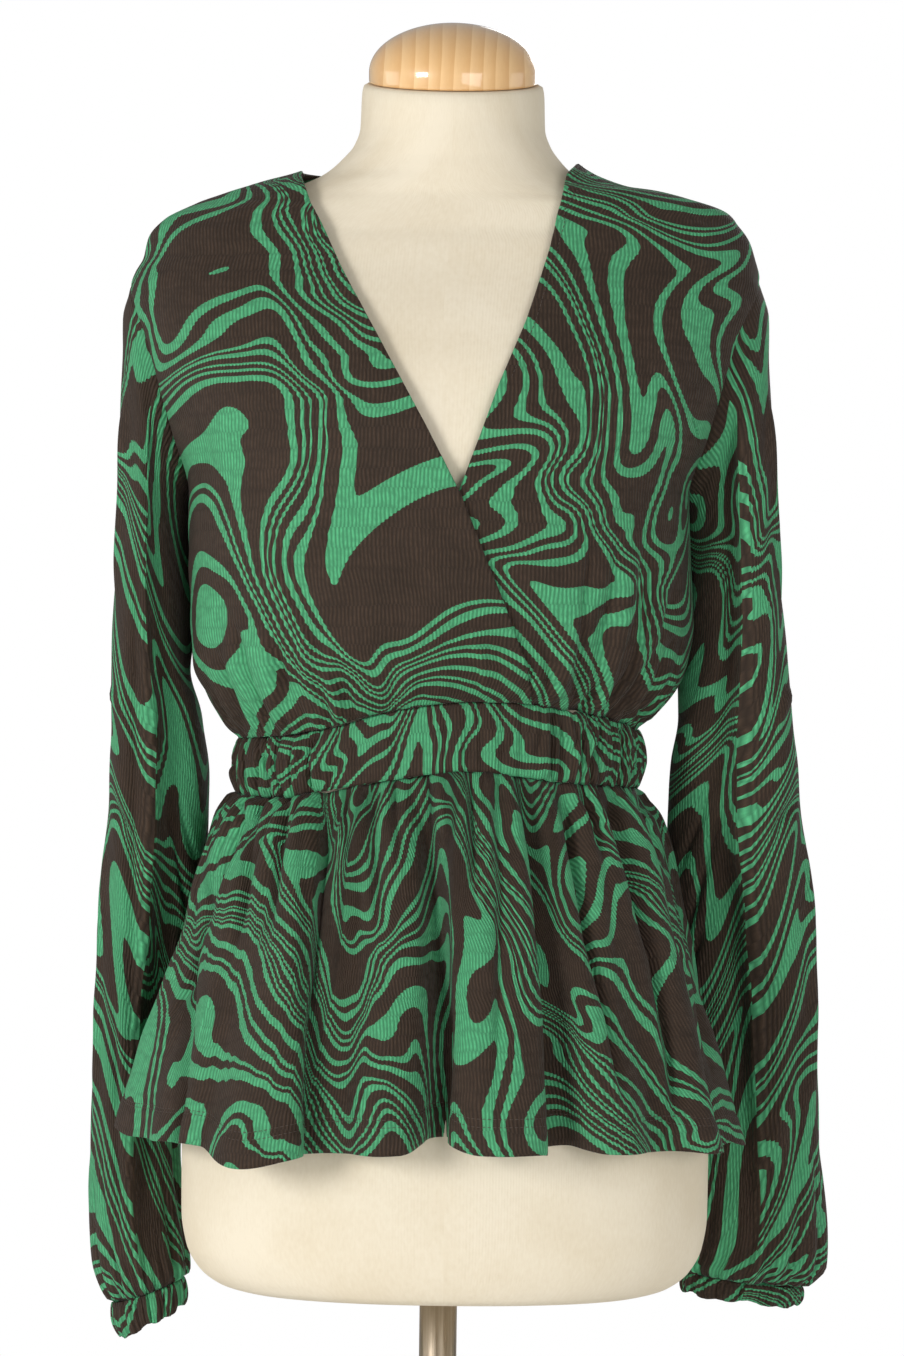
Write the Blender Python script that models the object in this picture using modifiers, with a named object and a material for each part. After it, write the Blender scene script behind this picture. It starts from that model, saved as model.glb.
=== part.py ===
"""Long-sleeve wrap-front top with a gathered waist and a peplum, worn by a limbless dress form on a steel stand.

The form stands upright on the floor with its front towards -Y, and the wearer's right side is at -X.
Sizes are in millimetres; the meshes are made in metres.  An angle round the body is 0 at the front, +90 at +X
and 180 at the back.
"""
import math
from collections import namedtuple

import bpy
import numpy as np

MM = 0.001
RIGHT, LEFT = -1, 1          # the wearer's sides, as signs of X

# ---- cloth ----------------------------------------------------------------------------------------------------------
CLOTH = 1.2                  # thickness of the crinkled knit
SEAM_TURN = 0.12             # half the space along a side or shoulder seam, in degrees
WRAP_STEP = 3.2              # the upper front panel's middle stands this far outside the lower one
WRAP_TURN = 50.0             # the step eases in over this many degrees from the side seam
ARM_STEP = 1.9               # the sleeve head's middle stands this far outside the bodice
WAIST_GAP = 0.8              # space between an elastic band's edge and the flaring cloth sewn to it
CHEST_DEGREE = 2.6           # length of one degree round the chest, for spacing points along an edge
SIDE_DEGREE = 0.8            # the same along a side seam and armhole, where points are spaced mostly by height

Ring = namedtuple("Ring", "height half_width centre front back square")

# Bodice, from the waist seam up to the neck: half width, sideways centre, reach to the front and to the back.
BODICE = [
    Ring(1000, 120.0, -3.5, 95, 92, 2.2),
    Ring(1040, 123.0, -5.0, 97, 94, 2.2),
    Ring(1051, 132.0, -3.0, 103, 98, 2.2),
    Ring(1066, 142.0, -2.5, 109, 102, 2.2),
    Ring(1084, 150.0, -4.0, 114, 105, 2.2),
    Ring(1108, 153.5, -3.5, 119, 108, 2.2),
    Ring(1145, 154.0, -5.0, 124, 110, 2.3),
    Ring(1186, 154.0, -6.0, 129, 112, 2.3),
    Ring(1222, 168.0, -4.5, 131, 115, 2.3),
    Ring(1252, 179.0, -4.0, 124, 118, 2.3),
    Ring(1288, 190.0, -4.0, 108, 117, 2.3),
    Ring(1310, 195.5, -3.5, 94, 110, 2.3),
    Ring(1321, 193.0, -2.0, 87, 104, 2.3),
    Ring(1330, 189.5, -0.5, 82, 98, 2.3),
    Ring(1343, 186.0, -1.0, 75, 89, 2.3),
    Ring(1354, 178.0, 0.0, 70, 82, 2.2),
    Ring(1364, 163.0, 5.0, 66, 77, 2.2),
    Ring(1371, 142.0, 3.0, 63, 73, 2.2),
    Ring(1377, 114.5, -3.0, 61, 71, 2.1),
    Ring(1385, 91.0, -2.0, 60, 69, 2.1),
    Ring(1392, 79.0, -1.5, 59, 68, 2.0),
    Ring(1402, 72.0, -1.0, 58, 67, 2.0),
]

# Dress form, from its flat underside to the top of the neck.
FORM = [
    Ring(694, 148.0, 3.0, 86, 108, 2.3),
    Ring(695, 153.0, 3.0, 91, 114, 2.3),
    Ring(699, 158.5, 3.0, 96, 119, 2.3),
    Ring(708, 161.5, 3.0, 99, 122, 2.3),
    Ring(740, 163.0, 3.0, 103, 126, 2.3),
    Ring(780, 163.0, 3.0, 105, 127, 2.3),
    Ring(820, 159.5, 2.0, 104, 122, 2.3),
    Ring(860, 152.0, 1.0, 101, 114, 2.3),
    Ring(900, 141.0, 0.0, 98, 105, 2.3),
    Ring(950, 127.0, -1.0, 94, 94, 2.2),
    Ring(1000, 118.5, -2.0, 90, 87, 2.2),
    Ring(1030, 114.5, -3.0, 89, 86, 2.2),
    Ring(1060, 118.0, -3.0, 92, 88, 2.2),
    Ring(1100, 129.0, -3.5, 101, 93, 2.2),
    Ring(1150, 140.0, -4.5, 114, 101, 2.3),
    Ring(1186, 145.0, -5.0, 122, 105, 2.3),
    Ring(1215, 151.0, -4.5, 126, 107, 2.3),
    Ring(1252, 164.0, -4.0, 119, 111, 2.3),
    Ring(1285, 175.0, -4.0, 104, 110, 2.3),
    Ring(1305, 181.0, -3.5, 92, 105, 2.3),
    Ring(1322, 183.0, -2.0, 81, 96, 2.3),
    Ring(1336, 181.5, -1.0, 73, 87, 2.3),
    Ring(1346, 174.0, -0.5, 67, 79, 2.2),
    Ring(1355.5, 161.0, 3.0, 63, 74, 2.2),
    Ring(1363, 144.0, 4.0, 60, 72, 2.2),
    Ring(1369, 120.0, 0.0, 58, 70, 2.1),
    Ring(1375.5, 95.0, -2.0, 57, 69, 2.1),
    Ring(1384, 78.0, -1.0, 56, 67, 2.0),
    Ring(1393, 68.0, -0.5, 55, 63, 2.0),
    Ring(1402, 61.0, 0.0, 55, 60, 2.0),
    Ring(1413, 57.3, 0.0, 55, 58, 2.0),
    Ring(1434, 56.5, 0.0, 55.5, 56.5, 2.0),
    Ring(1439.5, 55.5, 0.0, 54.5, 55.5, 2.0),
    Ring(1441, 53.0, 0.0, 52, 53, 2.0),
]
FORM_COLUMNS = 36
NECK_TILT = 12.0             # the top of the neck and its cap lean forward by this many degrees
NECK_TILT_FROM = 1398        # height where the lean starts

# Peplum, from the waistband's lower seam to the hem, at the middle of its folds.
PEPLUM = [
    Ring(780, 191.5, -8.0, 138, 151, 2.2),
    Ring(815, 183.0, -9.0, 134, 147, 2.2),
    Ring(850, 173.0, -8.0, 130, 143, 2.2),
    Ring(880, 164.0, -6.0, 126, 138, 2.2),
    Ring(910, 155.0, -5.0, 121, 130, 2.2),
    Ring(955, 144.5, -5.5, 112, 116, 2.2),
    Ring(985, 134.5, -4.0, 103, 103, 2.2),
    Ring(1005, 122.0, -3.5, 96, 93, 2.2),
    Ring(1022, 120.0, -3.5, 95, 92, 2.2),
]
HEM_HEIGHT = 791.0
FOLD_START = 1004.0          # the folds open out below this height
FOLD_OPENING = 1.3           # how late they open: 1 is evenly down to the hem

# Heights of the waistband's two seams round the body: it rises at the front.
Level = namedtuple("Level", "angle band_top band_bottom")
BAND_LEVELS = [
    Level(-180, 1038.0, 1003.0),
    Level(-90, 1034.0, 1001.0),
    Level(-52, 1036.0, 999.0),
    Level(-32, 1041.0, 1004.0),
    Level(-12, 1052.0, 1011.0),
    Level(8, 1058.5, 1017.0),
    Level(22, 1058.0, 1014.0),
    Level(42, 1053.0, 1010.0),
    Level(90, 1041.0, 1007.0),
    Level(180, 1038.0, 1003.0),
]
BAND_REST_TOP = 1040.0       # height of the band's top seam that the bodice rings are given for
BAND_LIFT_END = 1150.0       # above this height the bodice no longer follows the seam's rise
BAND_RING = Ring(0, 121.5, -4.0, 96, 93, 2.2)

Gathers = namedtuple("Gathers", "count depth quiet_angle")
BAND_GATHERS = Gathers(count=30, depth=1.3, quiet_angle=40)        # smooth within 40 degrees of the front
BODICE_GATHERS = Gathers(count=22, depth=2.2, quiet_angle=12)
BODICE_GATHERS_END = 1105.0  # the gathers above the waist have faded at this height
BODICE_GATHERS_RISE = 0.2    # they reach their full depth at this share of the way up
GATHERS_TURN = 25.0          # the gathers deepen over this many degrees past the quiet angle
CUFF_GATHERS = Gathers(count=16, depth=1.1, quiet_angle=0)

# Flared folds of the peplum at the hem: place, how far the fold stands out (or in), its half width, the hem's drop.
Fold = namedtuple("Fold", "angle out half_turn drop")
PEPLUM_FOLDS = [
    Fold(-84, 7, 10, -4),
    Fold(-66, -8, 10, 0),
    Fold(-50, 7, 9, -2),
    Fold(-30, 17, 14, 10),
    Fold(-16, -9, 8, 1),
    Fold(-7, 6, 7, 1),
    Fold(2.5, -17, 6, -8),
    Fold(13, 11, 10, 0),
    Fold(26, -14, 6, -4),
    Fold(36, 9, 9, 0),
    Fold(48, -8, 8, 1),
    Fold(60, 11, 10, 3),
    Fold(72, -6, 8, 3),
    Fold(86, 6, 9, 4),
    Fold(136, 10, 12, 2),
    Fold(154, -10, 10, -3),
    Fold(171, 14, 12, 4),
    Fold(188, -12, 10, -2),
    Fold(204, 13, 11, 4),
    Fold(219, -8, 9, 0),
]

# The sleeves press the peplum in behind the sides: place, depth at the hem, half width.
Press = namedtuple("Press", "angle depth half_turn")
SLEEVE_PRESSES = [Press(112, 10, 30), Press(249, 25, 36)]
PRESS_START = 985.0

# Armholes, seen from the side: a loop on the bodice.
Armhole = namedtuple("Armhole", "middle_y middle_z half_depth half_height")
ARMHOLES = {
    RIGHT: Armhole(7, 1252, 46, 67),
    LEFT: Armhole(0, 1253.5, 46, 67),
}

# Sections down each sleeve below the armhole: its inner and outer edges, the middle from front to back, half its
# depth, and how sharp its front fold is (0 is round).
Section = namedtuple("Section", "inner_x inner_z outer_x outer_z middle_y half_depth crease")
SLEEVE_SECTIONS = {
    RIGHT: [
        Section(164.0, 1172, 202.5, 1294, 7, 47, 0.05),
        Section(165.5, 1154, 203.0, 1252, 6, 48, 0.10),
        Section(164.5, 1130, 203.5, 1200, 5, 49, 0.15),
        Section(163.0, 1104, 205.0, 1150, 5, 50, 0.20),
        Section(159.0, 1075, 206.0, 1104, 7, 50, 0.25),
        Section(151.5, 1046, 206.5, 1064, 12, 49, 0.30),
        Section(147.5, 1012, 207.5, 1020, 22, 48, 0.30),
        Section(148.5, 968, 209.5, 972, 34, 46, 0.30),
        Section(152.5, 921, 212.0, 923, 47, 44, 0.30),
        Section(158.5, 865, 216.0, 866, 60, 44, 0.30),
        Section(164.0, 808, 220.0, 809, 71, 44, 0.25),
        Section(166.0, 762, 222.0, 762, 76, 43, 0.20),
        Section(163.0, 730, 221.0, 729, 75, 41, 0.15),
        Section(160.5, 708, 217.0, 701, 70, 38, 0.10),
        Section(160.0, 698, 211.5, 686, 66, 33, 0.05),
    ],
    LEFT: [
        Section(155.0, 1174, 196.5, 1298, 0, 47, 0.10),
        Section(157.0, 1156, 197.0, 1260, -1, 47, 0.30),
        Section(158.0, 1134, 199.0, 1213, -2, 47, 0.40),
        Section(157.5, 1108, 202.5, 1163, -1, 47, 0.45),
        Section(154.5, 1080, 207.5, 1113, 2, 47, 0.45),
        Section(147.0, 1052, 212.5, 1069, 8, 46, 0.40),
        Section(141.0, 1022, 218.0, 1028, 18, 45, 0.35),
        Section(140.0, 980, 223.0, 983, 30, 43, 0.30),
        Section(145.5, 926, 230.0, 927, 44, 41, 0.30),
        Section(152.5, 865, 235.0, 865, 58, 39, 0.30),
        Section(157.5, 804, 238.0, 804, 69, 38, 0.25),
        Section(160.0, 757, 242.0, 757, 77, 38, 0.20),
        Section(158.0, 728, 245.0, 726, 80, 37, 0.15),
        Section(155.0, 709, 243.5, 702, 80, 33, 0.10),
        Section(154.5, 703, 237.5, 695, 80, 29, 0.05),
    ],
}
SLEEVE_COLUMNS = 24
ELBOW_RING = 9               # the sleeve's upper and lower lengths meet at this ring, counted from the armhole
ELBOW_GAP = 0.3
HEAD_OUT, HEAD_DROP = 2.4, 4.0   # the sleeve head swells out and down from the armhole seam by this much

# Elastic cuffs: edges of the top and bottom rings, as for the sleeve sections.
CUFFS = {
    RIGHT: [
        Section(162.5, 691.5, 205.5, 675.5, 64, 27, 0.0),
        Section(162.0, 682, 203.5, 664, 64, 26, 0.0),
        Section(161.5, 675, 200.0, 654, 63, 25, 0.0),
    ],
    LEFT: [
        Section(157.5, 697.5, 230.5, 688.5, 80, 24, 0.0),
        Section(156.5, 691, 229.0, 682, 80, 23, 0.0),
        Section(156.0, 685, 227.0, 677, 79, 22, 0.0),
    ],
}
CUFF_COLUMNS = 48

# Free edge of each front panel, from the neck down to the waist seam, and the shoulder seams' neck ends.
Point = namedtuple("Point", "x height")
UPPER_EDGE = [
    Point(-90.0, 1377), Point(-85.0, 1361), Point(-76.0, 1343), Point(-66.0, 1320), Point(-45.0, 1280),
    Point(-14.0, 1222), Point(7.0, 1181), Point(23.0, 1141), Point(31.5, 1121), Point(42.0, 1094), Point(51.0, 1071),
    Point(58.0, 1056),
]
LOWER_EDGE = [
    Point(71.0, 1382), Point(68.5, 1371), Point(60.0, 1332), Point(46.5, 1288), Point(31.0, 1250), Point(19.0, 1216),
    Point(6.5, 1182), Point(-10.0, 1140), Point(-29.0, 1094), Point(-47.0, 1047),
]
SHOULDER_NECK = {RIGHT: 1385.0, LEFT: 1391.5}
BACK_NECK = 1392.0

# Columns and rows of each panel's grid.
BODICE_COLUMNS, BODICE_ROWS = 24, 15
BACK_COLUMNS, BACK_SIDE_ROWS, BACK_SHOULDER_ROWS = 26, 12, 6
PEPLUM_COLUMNS, PEPLUM_ROWS = 56, 6
BAND_COLUMNS, BAND_ROWS = 48, 2
ARMHOLE_POINTS, WAIST_POINTS, NECK_POINTS = 13, 40, 9

# ---- form hardware --------------------------------------------------------------------------------------------------
CAP_RADIUS = 52.4
CAP_RIM = 7.0                # straight side under the dome
CAP_DOME = 30.5
CAP_EDGE = 1.5               # rounding under the rim
POLE_RADIUS = 11.6
PLATE_RADIUS, PLATE_THICK, PLATE_EDGE = 170.0, 8.0, 1.5
BOSS_RADIUS, BOSS_HEIGHT, BOSS_FLARE = 19.0, 22.0, 8.0
SEAT_GAP = 0.3
TURNED_STEPS = 36

# ---- finishes: colour, roughness, metallic --------------------------------------------------------------------------
Finish = namedtuple("Finish", "red green blue roughness metallic")
PRINTED_KNIT = Finish(0.085, 0.22, 0.115, 0.85, 0.0)
COTTON_JERSEY = Finish(0.82, 0.76, 0.62, 0.9, 0.0)
VARNISHED_PINE = Finish(0.76, 0.49, 0.24, 0.2, 0.0)
BRUSHED_STEEL = Finish(0.42, 0.37, 0.31, 0.35, 1.0)


def between(places, values, place):
    """Value at a place on a smooth curve through the given rows, with no overshoot."""
    places = np.asarray(places, float)
    values = np.asarray(values, float)
    steps = np.diff(values) / np.diff(places)
    slopes = np.empty(len(values))
    slopes[0], slopes[-1] = steps[0], steps[-1]
    before, after = steps[:-1], steps[1:]
    same_way = before * after > 0
    total = np.where(same_way, before + after, 1.0)
    slopes[1:-1] = np.where(same_way, 2 * before * after / total, 0.0)
    k = int(np.clip(np.searchsorted(places, place) - 1, 0, len(places) - 2))
    width = places[k + 1] - places[k]
    t = min(max((place - places[k]) / width, 0.0), 1.0)
    start, end = values[k], values[k + 1]
    leave, arrive = slopes[k] * width, slopes[k + 1] * width
    return (start * (1 + 2 * t) * (1 - t) ** 2 + leave * t * (1 - t) ** 2
            + end * t * t * (3 - 2 * t) - arrive * t * t * (1 - t))


def ring_at(rings, height):
    """Ring of a body at one height."""
    heights = [ring.height for ring in rings]
    sizes = [between(heights, [getattr(ring, name) for ring in rings], height) for name in Ring._fields[1:]]
    return Ring(height, *sizes)


def on_ring(ring, angle, out=0.0):
    """Point on a ring, at an angle in degrees, moved out square to the body."""
    side, ahead = math.sin(math.radians(angle)), math.cos(math.radians(angle))
    reach = ring.front if ahead > 0 else ring.back
    across = math.copysign(abs(side) ** (2 / ring.square), side)
    along = -math.copysign(abs(ahead) ** (2 / ring.square), ahead)
    return np.array([ring.centre + (ring.half_width + out) * across, (reach + out) * along, ring.height])


def smooth_step(value):
    """Ease from 0 to 1 as the value goes from 0 to 1."""
    value = min(max(value, 0.0), 1.0)
    return value * value * (3 - 2 * value)


def turn_between(angle, other):
    """Smallest turn from one angle to another, without its sign."""
    return abs((angle - other + 180) % 360 - 180)


def bump(angle, middle, half_turn):
    """Soft ridge that is 1 at its middle and 0 from half_turn away on."""
    away = turn_between(angle, middle) / half_turn
    return 0.5 + 0.5 * math.cos(math.pi * away) if away < 1 else 0.0


def band_level(angle, seam):
    """Height of one of the waistband's seams at an angle."""
    turned = (angle + 180) % 360 - 180
    return between([level.angle for level in BAND_LEVELS], [getattr(level, seam) for level in BAND_LEVELS], turned)


def gather(angle, gathers):
    """Wave of small gathers round the body, still near the front."""
    away = turn_between(angle, 0) - gathers.quiet_angle
    return gathers.depth * smooth_step(away / GATHERS_TURN) * math.cos(math.radians(gathers.count * angle))


def bodice_point(angle, height, out=0.0):
    """Point of the bodice: its rings, let down to the rising waist seam, with gathers just above it."""
    rise = band_level(angle, "band_top") - BAND_REST_TOP
    fade = 1 - smooth_step((height - BAND_REST_TOP) / (BAND_LIFT_END - BAND_REST_TOP))
    ring = ring_at(BODICE, height - rise * fade)
    above_seam = (height - rise - BAND_REST_TOP) / (BODICE_GATHERS_END - BAND_REST_TOP)
    faded = (1 - smooth_step(above_seam)) * smooth_step(above_seam / BODICE_GATHERS_RISE)
    waves = gather(angle, BODICE_GATHERS) * faded
    return on_ring(ring._replace(height=height), angle, out + waves)


def bodice_angle(x, height):
    """Angle of the front point of the bodice that has this x."""
    ring = ring_at(BODICE, height)
    across = min(1.0, abs(x - ring.centre) / ring.half_width)
    return math.copysign(math.degrees(math.asin(across ** (ring.square / 2))), x - ring.centre)


def armhole(side, turn):
    """Angle and height on the bodice at a turn round the armhole: 0 is its front, 90 its top, 270 its underarm."""
    hole = ARMHOLES[side]
    depth = hole.middle_y - hole.half_depth * math.cos(math.radians(turn))
    height = hole.middle_z + hole.half_height * math.sin(math.radians(turn))
    ring = ring_at(BODICE, height)
    reach = ring.front if depth < 0 else ring.back
    ahead = min(1.0, abs(depth) / reach) ** (ring.square / 2)
    angle = 90 - math.copysign(math.degrees(math.asin(ahead)), -depth)
    return side * angle, height


def edge(points, degree=CHEST_DEGREE):
    """Function that walks along points of angle and height, evenly by length, from 0 to 1."""
    points = np.array(points, float)
    lengths = np.hypot(np.diff(points[:, 0]) * degree, np.diff(points[:, 1]))
    walked = np.concatenate([[0], np.cumsum(lengths)])
    return lambda t: np.array([np.interp(t * walked[-1], walked, points[:, k]) for k in (0, 1)])


def two_edges(first, second, share):
    """Function that walks along one edge over its share of 0 to 1, and then along another."""
    return lambda t: first(t / share) if t < share else second((t - share) / (1 - share))


def patch(bottom, top, start, end, columns, rows):
    """Grid of angles and heights between four edges that meet at their ends."""
    grid = []
    for row in range(rows + 1):
        v = row / rows
        for column in range(columns + 1):
            u = column / columns
            corners = ((1 - u) * (1 - v) * bottom(0) + u * (1 - v) * bottom(1)
                       + (1 - u) * v * top(0) + u * v * top(1))
            grid.append((1 - v) * bottom(u) + v * top(u) + (1 - u) * start(v) + u * end(v) - corners)
    return grid


def grid_faces(columns, rows, closed=False):
    """Faces between the points of a grid, which may close on itself round a tube."""
    across = columns if closed else columns + 1
    faces = []
    for row in range(rows):
        for column in range(columns):
            right = (column + 1) % across
            low, high = row * across, (row + 1) * across
            faces.append((low + column, low + right, high + right, high + column))
    return faces


def make_material(name, finish):
    """Material with one colour and sheen."""
    material = bpy.data.materials.new(name)
    material.use_nodes = True
    shader = material.node_tree.nodes["Principled BSDF"]
    shader.inputs["Base Color"].default_value = (finish.red, finish.green, finish.blue, 1)
    shader.inputs["Roughness"].default_value = finish.roughness
    shader.inputs["Metallic"].default_value = finish.metallic
    return material


def make_object(name, points, faces, finish, collection):
    """Object from points in millimetres and their faces, in a material of its own."""
    mesh = bpy.data.meshes.new(name)
    mesh.from_pydata([tuple(float(value) * MM for value in point) for point in points], [], faces)
    mesh.validate()
    mesh.shade_smooth()
    piece = bpy.data.objects.new(name, mesh)
    collection.objects.link(piece)
    mesh.materials.append(make_material(name, finish))
    return piece


def make_cloth(name, points, faces, collection):
    """Cloth piece: an open surface given the thickness of the knit."""
    piece = make_object(name, points, faces, PRINTED_KNIT, collection)
    shell = piece.modifiers.new("Thickness", "SOLIDIFY")
    shell.thickness = CLOTH * MM
    shell.offset = 0
    shell.use_even_offset = True
    return piece


def side_edge(side, front):
    """A bodice panel's outer edge: up the side seam, then round its part of the armhole."""
    panel_side = 1 if front else -1
    turn_in = panel_side * side * SEAM_TURN
    turns = np.linspace(-90 if front else 270, 90, ARMHOLE_POINTS)
    under = armhole(side, 270)
    waist = (side * 90, band_level(side * 90, "band_top") + WAIST_GAP)
    points = [waist] + [armhole(side, turn) for turn in turns]
    points.insert(1, ((waist[0] + under[0]) / 2, (waist[1] + under[1]) / 2))
    return [(angle - turn_in, height) for angle, height in points]


def waist_edge(first, last):
    """A bodice panel's lower edge, just above the waistband."""
    angles = np.linspace(first, last, WAIST_POINTS)
    return [(angle, band_level(angle, "band_top") + WAIST_GAP) for angle in angles]


def build_front(name, side, free_edge, step, collection):
    """Front panel, from its side seam across the body to its free wrap edge."""
    outer = side_edge(side, front=True)
    neck = (side * (90 - SEAM_TURN), SHOULDER_NECK[side])
    free = [neck] + [(bodice_angle(point.x, point.height), point.height) for point in free_edge]
    last = free[-1][0]
    free[-1] = (last, band_level(last, "band_top") + WAIST_GAP)
    free.reverse()
    grid = patch(edge(waist_edge(outer[0][0], last)), edge([outer[-1], neck]),
                 edge(outer, SIDE_DEGREE), edge(free), BODICE_COLUMNS, BODICE_ROWS)
    points = []
    for angle, height in grid:
        away = (90 - side * angle) / WRAP_TURN
        points.append(bodice_point(angle, height, step * smooth_step(away)))
    return make_cloth(name, points, grid_faces(BODICE_COLUMNS, BODICE_ROWS), collection)


def build_back(collection):
    """Back panel: its side edges run up the side seams, round the armholes and along the shoulder seams to the neck."""
    left = side_edge(LEFT, front=False)
    right = [(angle + 360, height) for angle, height in side_edge(RIGHT, front=False)]
    neck_left = (left[-1][0], SHOULDER_NECK[LEFT])
    neck_right = (right[-1][0], SHOULDER_NECK[RIGHT])
    share = BACK_SIDE_ROWS / (BACK_SIDE_ROWS + BACK_SHOULDER_ROWS)
    start = two_edges(edge(left, SIDE_DEGREE), edge([left[-1], neck_left]), share)
    end = two_edges(edge(right, SIDE_DEGREE), edge([right[-1], neck_right]), share)
    neck_angles = np.linspace(neck_left[0], neck_right[0], NECK_POINTS)
    neck_heights = [SHOULDER_NECK[LEFT]] + [BACK_NECK] * (NECK_POINTS - 2) + [SHOULDER_NECK[RIGHT]]
    rows = BACK_SIDE_ROWS + BACK_SHOULDER_ROWS
    grid = patch(edge(waist_edge(left[0][0], right[0][0])), edge(list(zip(neck_angles, neck_heights))), start, end,
                 BACK_COLUMNS, rows)
    points = [bodice_point(angle, height) for angle, height in grid]
    return make_cloth("bodice_back", points, grid_faces(BACK_COLUMNS, rows), collection)


def build_band(name, first, last, collection):
    """Half of the gathered waistband."""
    points = []
    for row in range(BAND_ROWS + 1):
        for angle in np.linspace(first + SEAM_TURN, last - SEAM_TURN, BAND_COLUMNS + 1):
            low, high = band_level(angle, "band_bottom"), band_level(angle, "band_top")
            ring = BAND_RING._replace(height=low + (high - low) * row / BAND_ROWS)
            points.append(on_ring(ring, angle, gather(angle, BAND_GATHERS)))
    return make_cloth(name, points, grid_faces(BAND_COLUMNS, BAND_ROWS), collection)


def build_peplum(name, first, last, collection):
    """Half of the peplum, which flares in folds from the waistband to the hem."""
    points = []
    for row in range(PEPLUM_ROWS + 1):
        down = row / PEPLUM_ROWS
        for angle in np.linspace(first + SEAM_TURN, last - SEAM_TURN, PEPLUM_COLUMNS + 1):
            top = band_level(angle, "band_bottom") - WAIST_GAP
            drop = sum(fold.drop * bump(angle, fold.angle, fold.half_turn) for fold in PEPLUM_FOLDS)
            height = top + (HEM_HEIGHT - drop - top) * down
            opening = min(1.0, max(0.0, (FOLD_START - height) / (FOLD_START - HEM_HEIGHT))) ** FOLD_OPENING
            folds = sum(fold.out * bump(angle, fold.angle, fold.half_turn) for fold in PEPLUM_FOLDS)
            pressed = sum(press.depth * bump(angle, press.angle, press.half_turn) for press in SLEEVE_PRESSES)
            inward = pressed * max(0.0, (PRESS_START - height) / (PRESS_START - HEM_HEIGHT))
            ring = ring_at(PEPLUM, height)
            points.append(on_ring(ring, angle, folds * opening - inward))
    return make_cloth(name, points, grid_faces(PEPLUM_COLUMNS, PEPLUM_ROWS), collection)


def section_ring(side, section, columns, gathers=None):
    """Closed ring of a sleeve or cuff section: from its front, by its outer side, round the back."""
    middle = (section.inner_x + section.outer_x) / 2
    half = (section.outer_x - section.inner_x) / 2
    height = (section.inner_z + section.outer_z) / 2
    rise = (section.outer_z - section.inner_z) / 2
    ring = []
    for column in range(columns):
        turn = 2 * math.pi * column / columns
        waves = gathers.depth * math.cos(gathers.count * turn) if gathers else 0.0
        narrowed = 1 - section.crease * max(0.0, math.cos(turn)) ** 2
        lateral = math.sin(turn) * narrowed
        ring.append(np.array([side * (middle + (half + waves) * lateral),
                              section.middle_y - (section.half_depth + waves) * math.cos(turn),
                              height + rise * lateral]))
    return ring


def sleeve_rings(side):
    """Rings of points of a sleeve from the armhole down to the cuff, whose upper edge the last ring follows."""
    head = []
    for column in range(SLEEVE_COLUMNS):
        turn = 360 * column / SLEEVE_COLUMNS
        angle, height = armhole(side, turn)
        head.append(bodice_point(angle, height, ARM_STEP))
    swell = [point + np.array([side * HEAD_OUT, 0, -HEAD_DROP]) for point in head]
    cuff_top = CUFFS[side][0]
    last = cuff_top._replace(inner_z=cuff_top.inner_z + WAIST_GAP, outer_z=cuff_top.outer_z + WAIST_GAP)
    sections = SLEEVE_SECTIONS[side] + [last]
    return [head, swell] + [section_ring(side, section, SLEEVE_COLUMNS) for section in sections]


def build_sleeve(name, side, collection):
    """Limp sleeve, two open tubes that meet at the elbow."""
    rings = sleeve_rings(side)
    rise = np.array([0, 0, ELBOW_GAP / 2])
    upper = rings[:ELBOW_RING] + [[point + rise for point in rings[ELBOW_RING]]]
    lower = [[point - rise for point in rings[ELBOW_RING]]] + rings[ELBOW_RING + 1:]
    for length, tube in (("upper", upper), ("lower", lower)):
        points = [point for ring in tube for point in ring]
        make_cloth(name + "_" + length, points, grid_faces(SLEEVE_COLUMNS, len(tube) - 1, closed=True), collection)


def build_cuff(name, side, collection):
    """Gathered elastic cuff, a short open tube under the sleeve."""
    points = []
    for section in CUFFS[side]:
        points += section_ring(side, section, CUFF_COLUMNS, CUFF_GATHERS)
    return make_cloth(name, points, grid_faces(CUFF_COLUMNS, len(CUFFS[side]) - 1, closed=True), collection)


def build_form(collection):
    """Dress form: one smooth closed body from the flat underside to the leaning top of the neck."""
    points = []
    lean = math.tan(math.radians(NECK_TILT))
    for ring in FORM:
        leaning = smooth_step((ring.height - NECK_TILT_FROM) / (FORM[-1].height - NECK_TILT_FROM))
        for column in range(FORM_COLUMNS):
            point = on_ring(ring, 360 * column / FORM_COLUMNS)
            point[2] += point[1] * lean * leaning
            points.append(point)
    faces = grid_faces(FORM_COLUMNS, len(FORM) - 1, closed=True)
    faces.append(tuple(reversed(range(FORM_COLUMNS))))
    top = (len(FORM) - 1) * FORM_COLUMNS
    faces.append(tuple(range(top, top + FORM_COLUMNS)))
    return make_object("form_torso", points, faces, COTTON_JERSEY, collection)


def make_turned(name, profile, finish, collection):
    """Turned piece from a profile of radius and height, which runs down its outer side."""
    mesh = bpy.data.meshes.new(name)
    rows = [(radius * MM, 0, height * MM) for radius, height in profile]
    mesh.from_pydata(rows, [(k, k + 1) for k in range(len(rows) - 1)], [])
    piece = bpy.data.objects.new(name, mesh)
    collection.objects.link(piece)
    mesh.materials.append(make_material(name, finish))
    turning = piece.modifiers.new("Turning", "SCREW")
    turning.steps = turning.render_steps = TURNED_STEPS
    turning.use_merge_vertices = True
    turning.merge_threshold = 0.00005
    turning.use_smooth_shade = True
    return piece


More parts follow.
